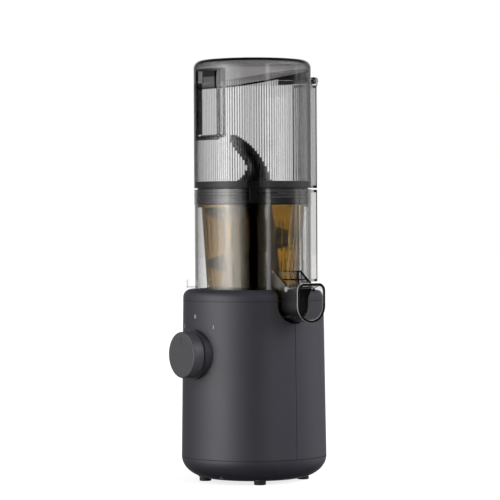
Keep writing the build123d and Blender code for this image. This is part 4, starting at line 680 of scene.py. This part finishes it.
def ribbed_wall_group():
    """Normal and colour of the ribbed outside, from the angle round the axis and the distance to it."""
    group = bpy.data.node_groups.new("ribbed wall", "ShaderNodeTree")
    for socket, kind in (("Color", "NodeSocketColor"), ("Normal", "NodeSocketVector")):
        group.interface.new_socket(name=socket, in_out="OUTPUT", socket_type=kind)
    links = group.links
    leave = group.nodes.new("NodeGroupOutput")
    place = group.nodes.new("ShaderNodeTexCoord").outputs["Object"]
    dx = calc(group, "SUBTRACT", along(group, place, (1, 0, 0)), AXIS_X)
    dy = calc(group, "SUBTRACT", along(group, place, (0, 1, 0)), AXIS_Y)
    radius = calc(group, "SQRT", calc(group, "MULTIPLY_ADD", dx, dx, calc(group, "MULTIPLY", dy, dy)))
    outward = group.nodes.new("ShaderNodeCombineXYZ")
    links.new(calc(group, "DIVIDE", dx, radius), outward.inputs["X"])
    links.new(calc(group, "DIVIDE", dy, radius), outward.inputs["Y"])
    normal = group.nodes.new("ShaderNodeNewGeometry").outputs["Normal"]
    facing = group.nodes.new("ShaderNodeVectorMath")
    facing.operation = "DOT_PRODUCT"
    links.new(normal, facing.inputs[0])
    links.new(outward.outputs[0], facing.inputs[1])
    aligned = calc(group, "ABSOLUTE", facing.outputs["Value"])
    outer_face = calc(group, "GREATER_THAN", radius, RIB_R)
    on_wall = calc(group, "MULTIPLY", outer_face, calc(group, "GREATER_THAN", aligned, WALL_ALIGNED))
    side = calc(group, "SIGN", facing.outputs["Value"])
    straight = group.nodes.new("ShaderNodeVectorMath")
    straight.operation = "SCALE"
    links.new(outward.outputs[0], straight.inputs[0])
    links.new(side, straight.inputs["Scale"])
    flat = group.nodes.new("ShaderNodeMix")
    flat.data_type = "VECTOR"
    links.new(calc(group, "MULTIPLY", on_wall, 1 - RIB_BEND), flat.inputs["Factor"])
    links.new(normal, flat.inputs["A"])
    links.new(straight.outputs[0], flat.inputs["B"])
    links.new(flat.outputs["Result"], leave.inputs["Normal"])
    turn = calc(group, "MULTIPLY", calc(group, "ARCTAN2", dy, dx), RIB_COUNT / (2 * pi))
    from_groove = calc(group, "PINGPONG", turn, 0.5)
    # Painted shade: the grooves' fine dark lines are drawn into the colour.
    groove = calc(group, "MULTIPLY", on_wall, ramp(group, from_groove, 0.0, GROOVE_SHARE, 1.0, 0.0))
    tone = group.nodes.new("ShaderNodeMix")
    tone.data_type = "RGBA"
    links.new(groove, tone.inputs["Factor"])
    tone.inputs["A"].default_value = (1, 1, 1, 1)
    tone.inputs["B"].default_value = (*GROOVE_PAINTED_SHADE, 1)
    links.new(tone.outputs["Result"], leave.inputs["Color"])
    return group


smoked_ribbed = finish(
    "smoked_ribbed", (1, 1, 1), (1, 1, 1), (0.012, 0.025), grain=(40, 0), broad=40,
    colour_varies=False, Transmission_Weight=1.0, IOR=1.45, Specular_IOR_Level=0.3)
tint(smoked_ribbed, (0.03, 0.01, 0.02), 85)
ribs = smoked_ribbed.node_tree.nodes.new("ShaderNodeGroup")
ribs.node_tree = ribbed_wall_group()
ribbed_shader = smoked_ribbed.node_tree.nodes["Principled BSDF"]
for socket_out, socket_in in (("Color", "Base Color"), ("Normal", "Normal")):
    smoked_ribbed.node_tree.links.new(ribs.outputs[socket_out], ribbed_shader.inputs[socket_in])
dress(smoked_ribbed, "hopper")

# ---------------------------------------------------------------- finger recess
# The recess is moulded in thicker smoked plastic: its cheeks, its sill and the corners of its mouth look almost black.
# The lid carries the top of each corner. Each corner has its body, its foot and its top, and each cheek its side, how
# far in it starts and its depth.
HOPPER_R = 0.0644
MOUTH_HALF = 0.0196
MOUTH_FACE_R = 0.0641
CORNER_TURN = radians(1.25)
CORNER_DEPTH, CORNER_SUNK = 0.0022, 0.0023
CORNER_W = {-1: 0.0026, 1: 0.0030}
CORNERS = (("recess_corner", "hopper", 0.3765, 0.4358), ("lid_corner", "lid", 0.4366, 0.4466))
SILL_H, SILL_Z, SILL_MORE = 0.0042, 0.3728, 0.004
CHEEK_FOOT_Z, CHEEK_H, CHEEK_THICK, CHEEK_EDGE = 0.3793, 0.0565, 0.0014, 0.0002
CHEEK_ASIDE = 0.0013
CHEEK_FRONT = 0.0600
CHEEKS = ((-1, 0.0, 0.0070), (1, 0.0068, 0.0020))
smoked_thick = finish(
    "smoked_thick", (0.6, 0.6, 0.61), (0.6, 0.6, 0.61), (0.02, 0.04), grain=(40, 0), colour_varies=False,
    Transmission_Weight=1.0, IOR=1.4)
tint(smoked_thick, (0.03, 0.01, 0.02), 1700)
mouth_turn = asin(MOUTH_HALF / HOPPER_R)
for name, body, foot, top in CORNERS:
    corners = []
    for side, width in CORNER_W.items():
        bar = lift(slab(width, CORNER_DEPTH, top - foot), y=-CORNER_SUNK, z=foot)
        wrap(bar, -pi / 2 + side * (mouth_turn + CORNER_TURN), MOUTH_FACE_R)
        corners.append(bar)
    set_down(join(*corners), name, smoked_thick, body)
sill = lift(slab(2 * mouth_turn * MOUTH_FACE_R + SILL_MORE, CORNER_DEPTH, SILL_H), y=-CORNER_SUNK, z=SILL_Z)
wrap(sill, -pi / 2, MOUTH_FACE_R)
set_down(sill, "recess_sill", smoked_thick, "hopper")
cheeks = []
for side, inwards, depth in CHEEKS:
    middle = (
        AXIS_X + side * (MOUTH_HALF + CHEEK_ASIDE), AXIS_Y - CHEEK_FRONT + inwards + depth / 2,
        CHEEK_FOOT_Z + CHEEK_H / 2)
    bpy.ops.mesh.primitive_cube_add(size=1, scale=(CHEEK_THICK, depth, CHEEK_H), location=middle)
    bpy.ops.object.transform_apply(location=True, scale=True)
    cheek = bpy.context.object
    in_edit(cheek, lambda: bpy.ops.mesh.bevel(offset=CHEEK_EDGE, segments=1))
    cheeks.append(cheek)
set_down(join(*cheeks), "recess_cheeks", smoked_thick, "hopper")

# ---------------------------------------------------------------- lid
# Thicker smoked copolyester, smooth and domed, hinged at the back. Its sloping floor is a second moulding, welded in,
# that keeps fruit clear of the hinge, and the finger tab hangs down in front of the recess.
smoked = finish(
    "smoked_copolyester", (1, 1, 1), (1, 1, 1), (0.012, 0.025), grain=(40, 0), broad=40,
    colour_varies=False, Transmission_Weight=1.0, IOR=1.45, Specular_IOR_Level=0.3)
tint(smoked, (0.03, 0.01, 0.02), 260)
dress(smoked, "lid", "lid_floor", "lid_tab")
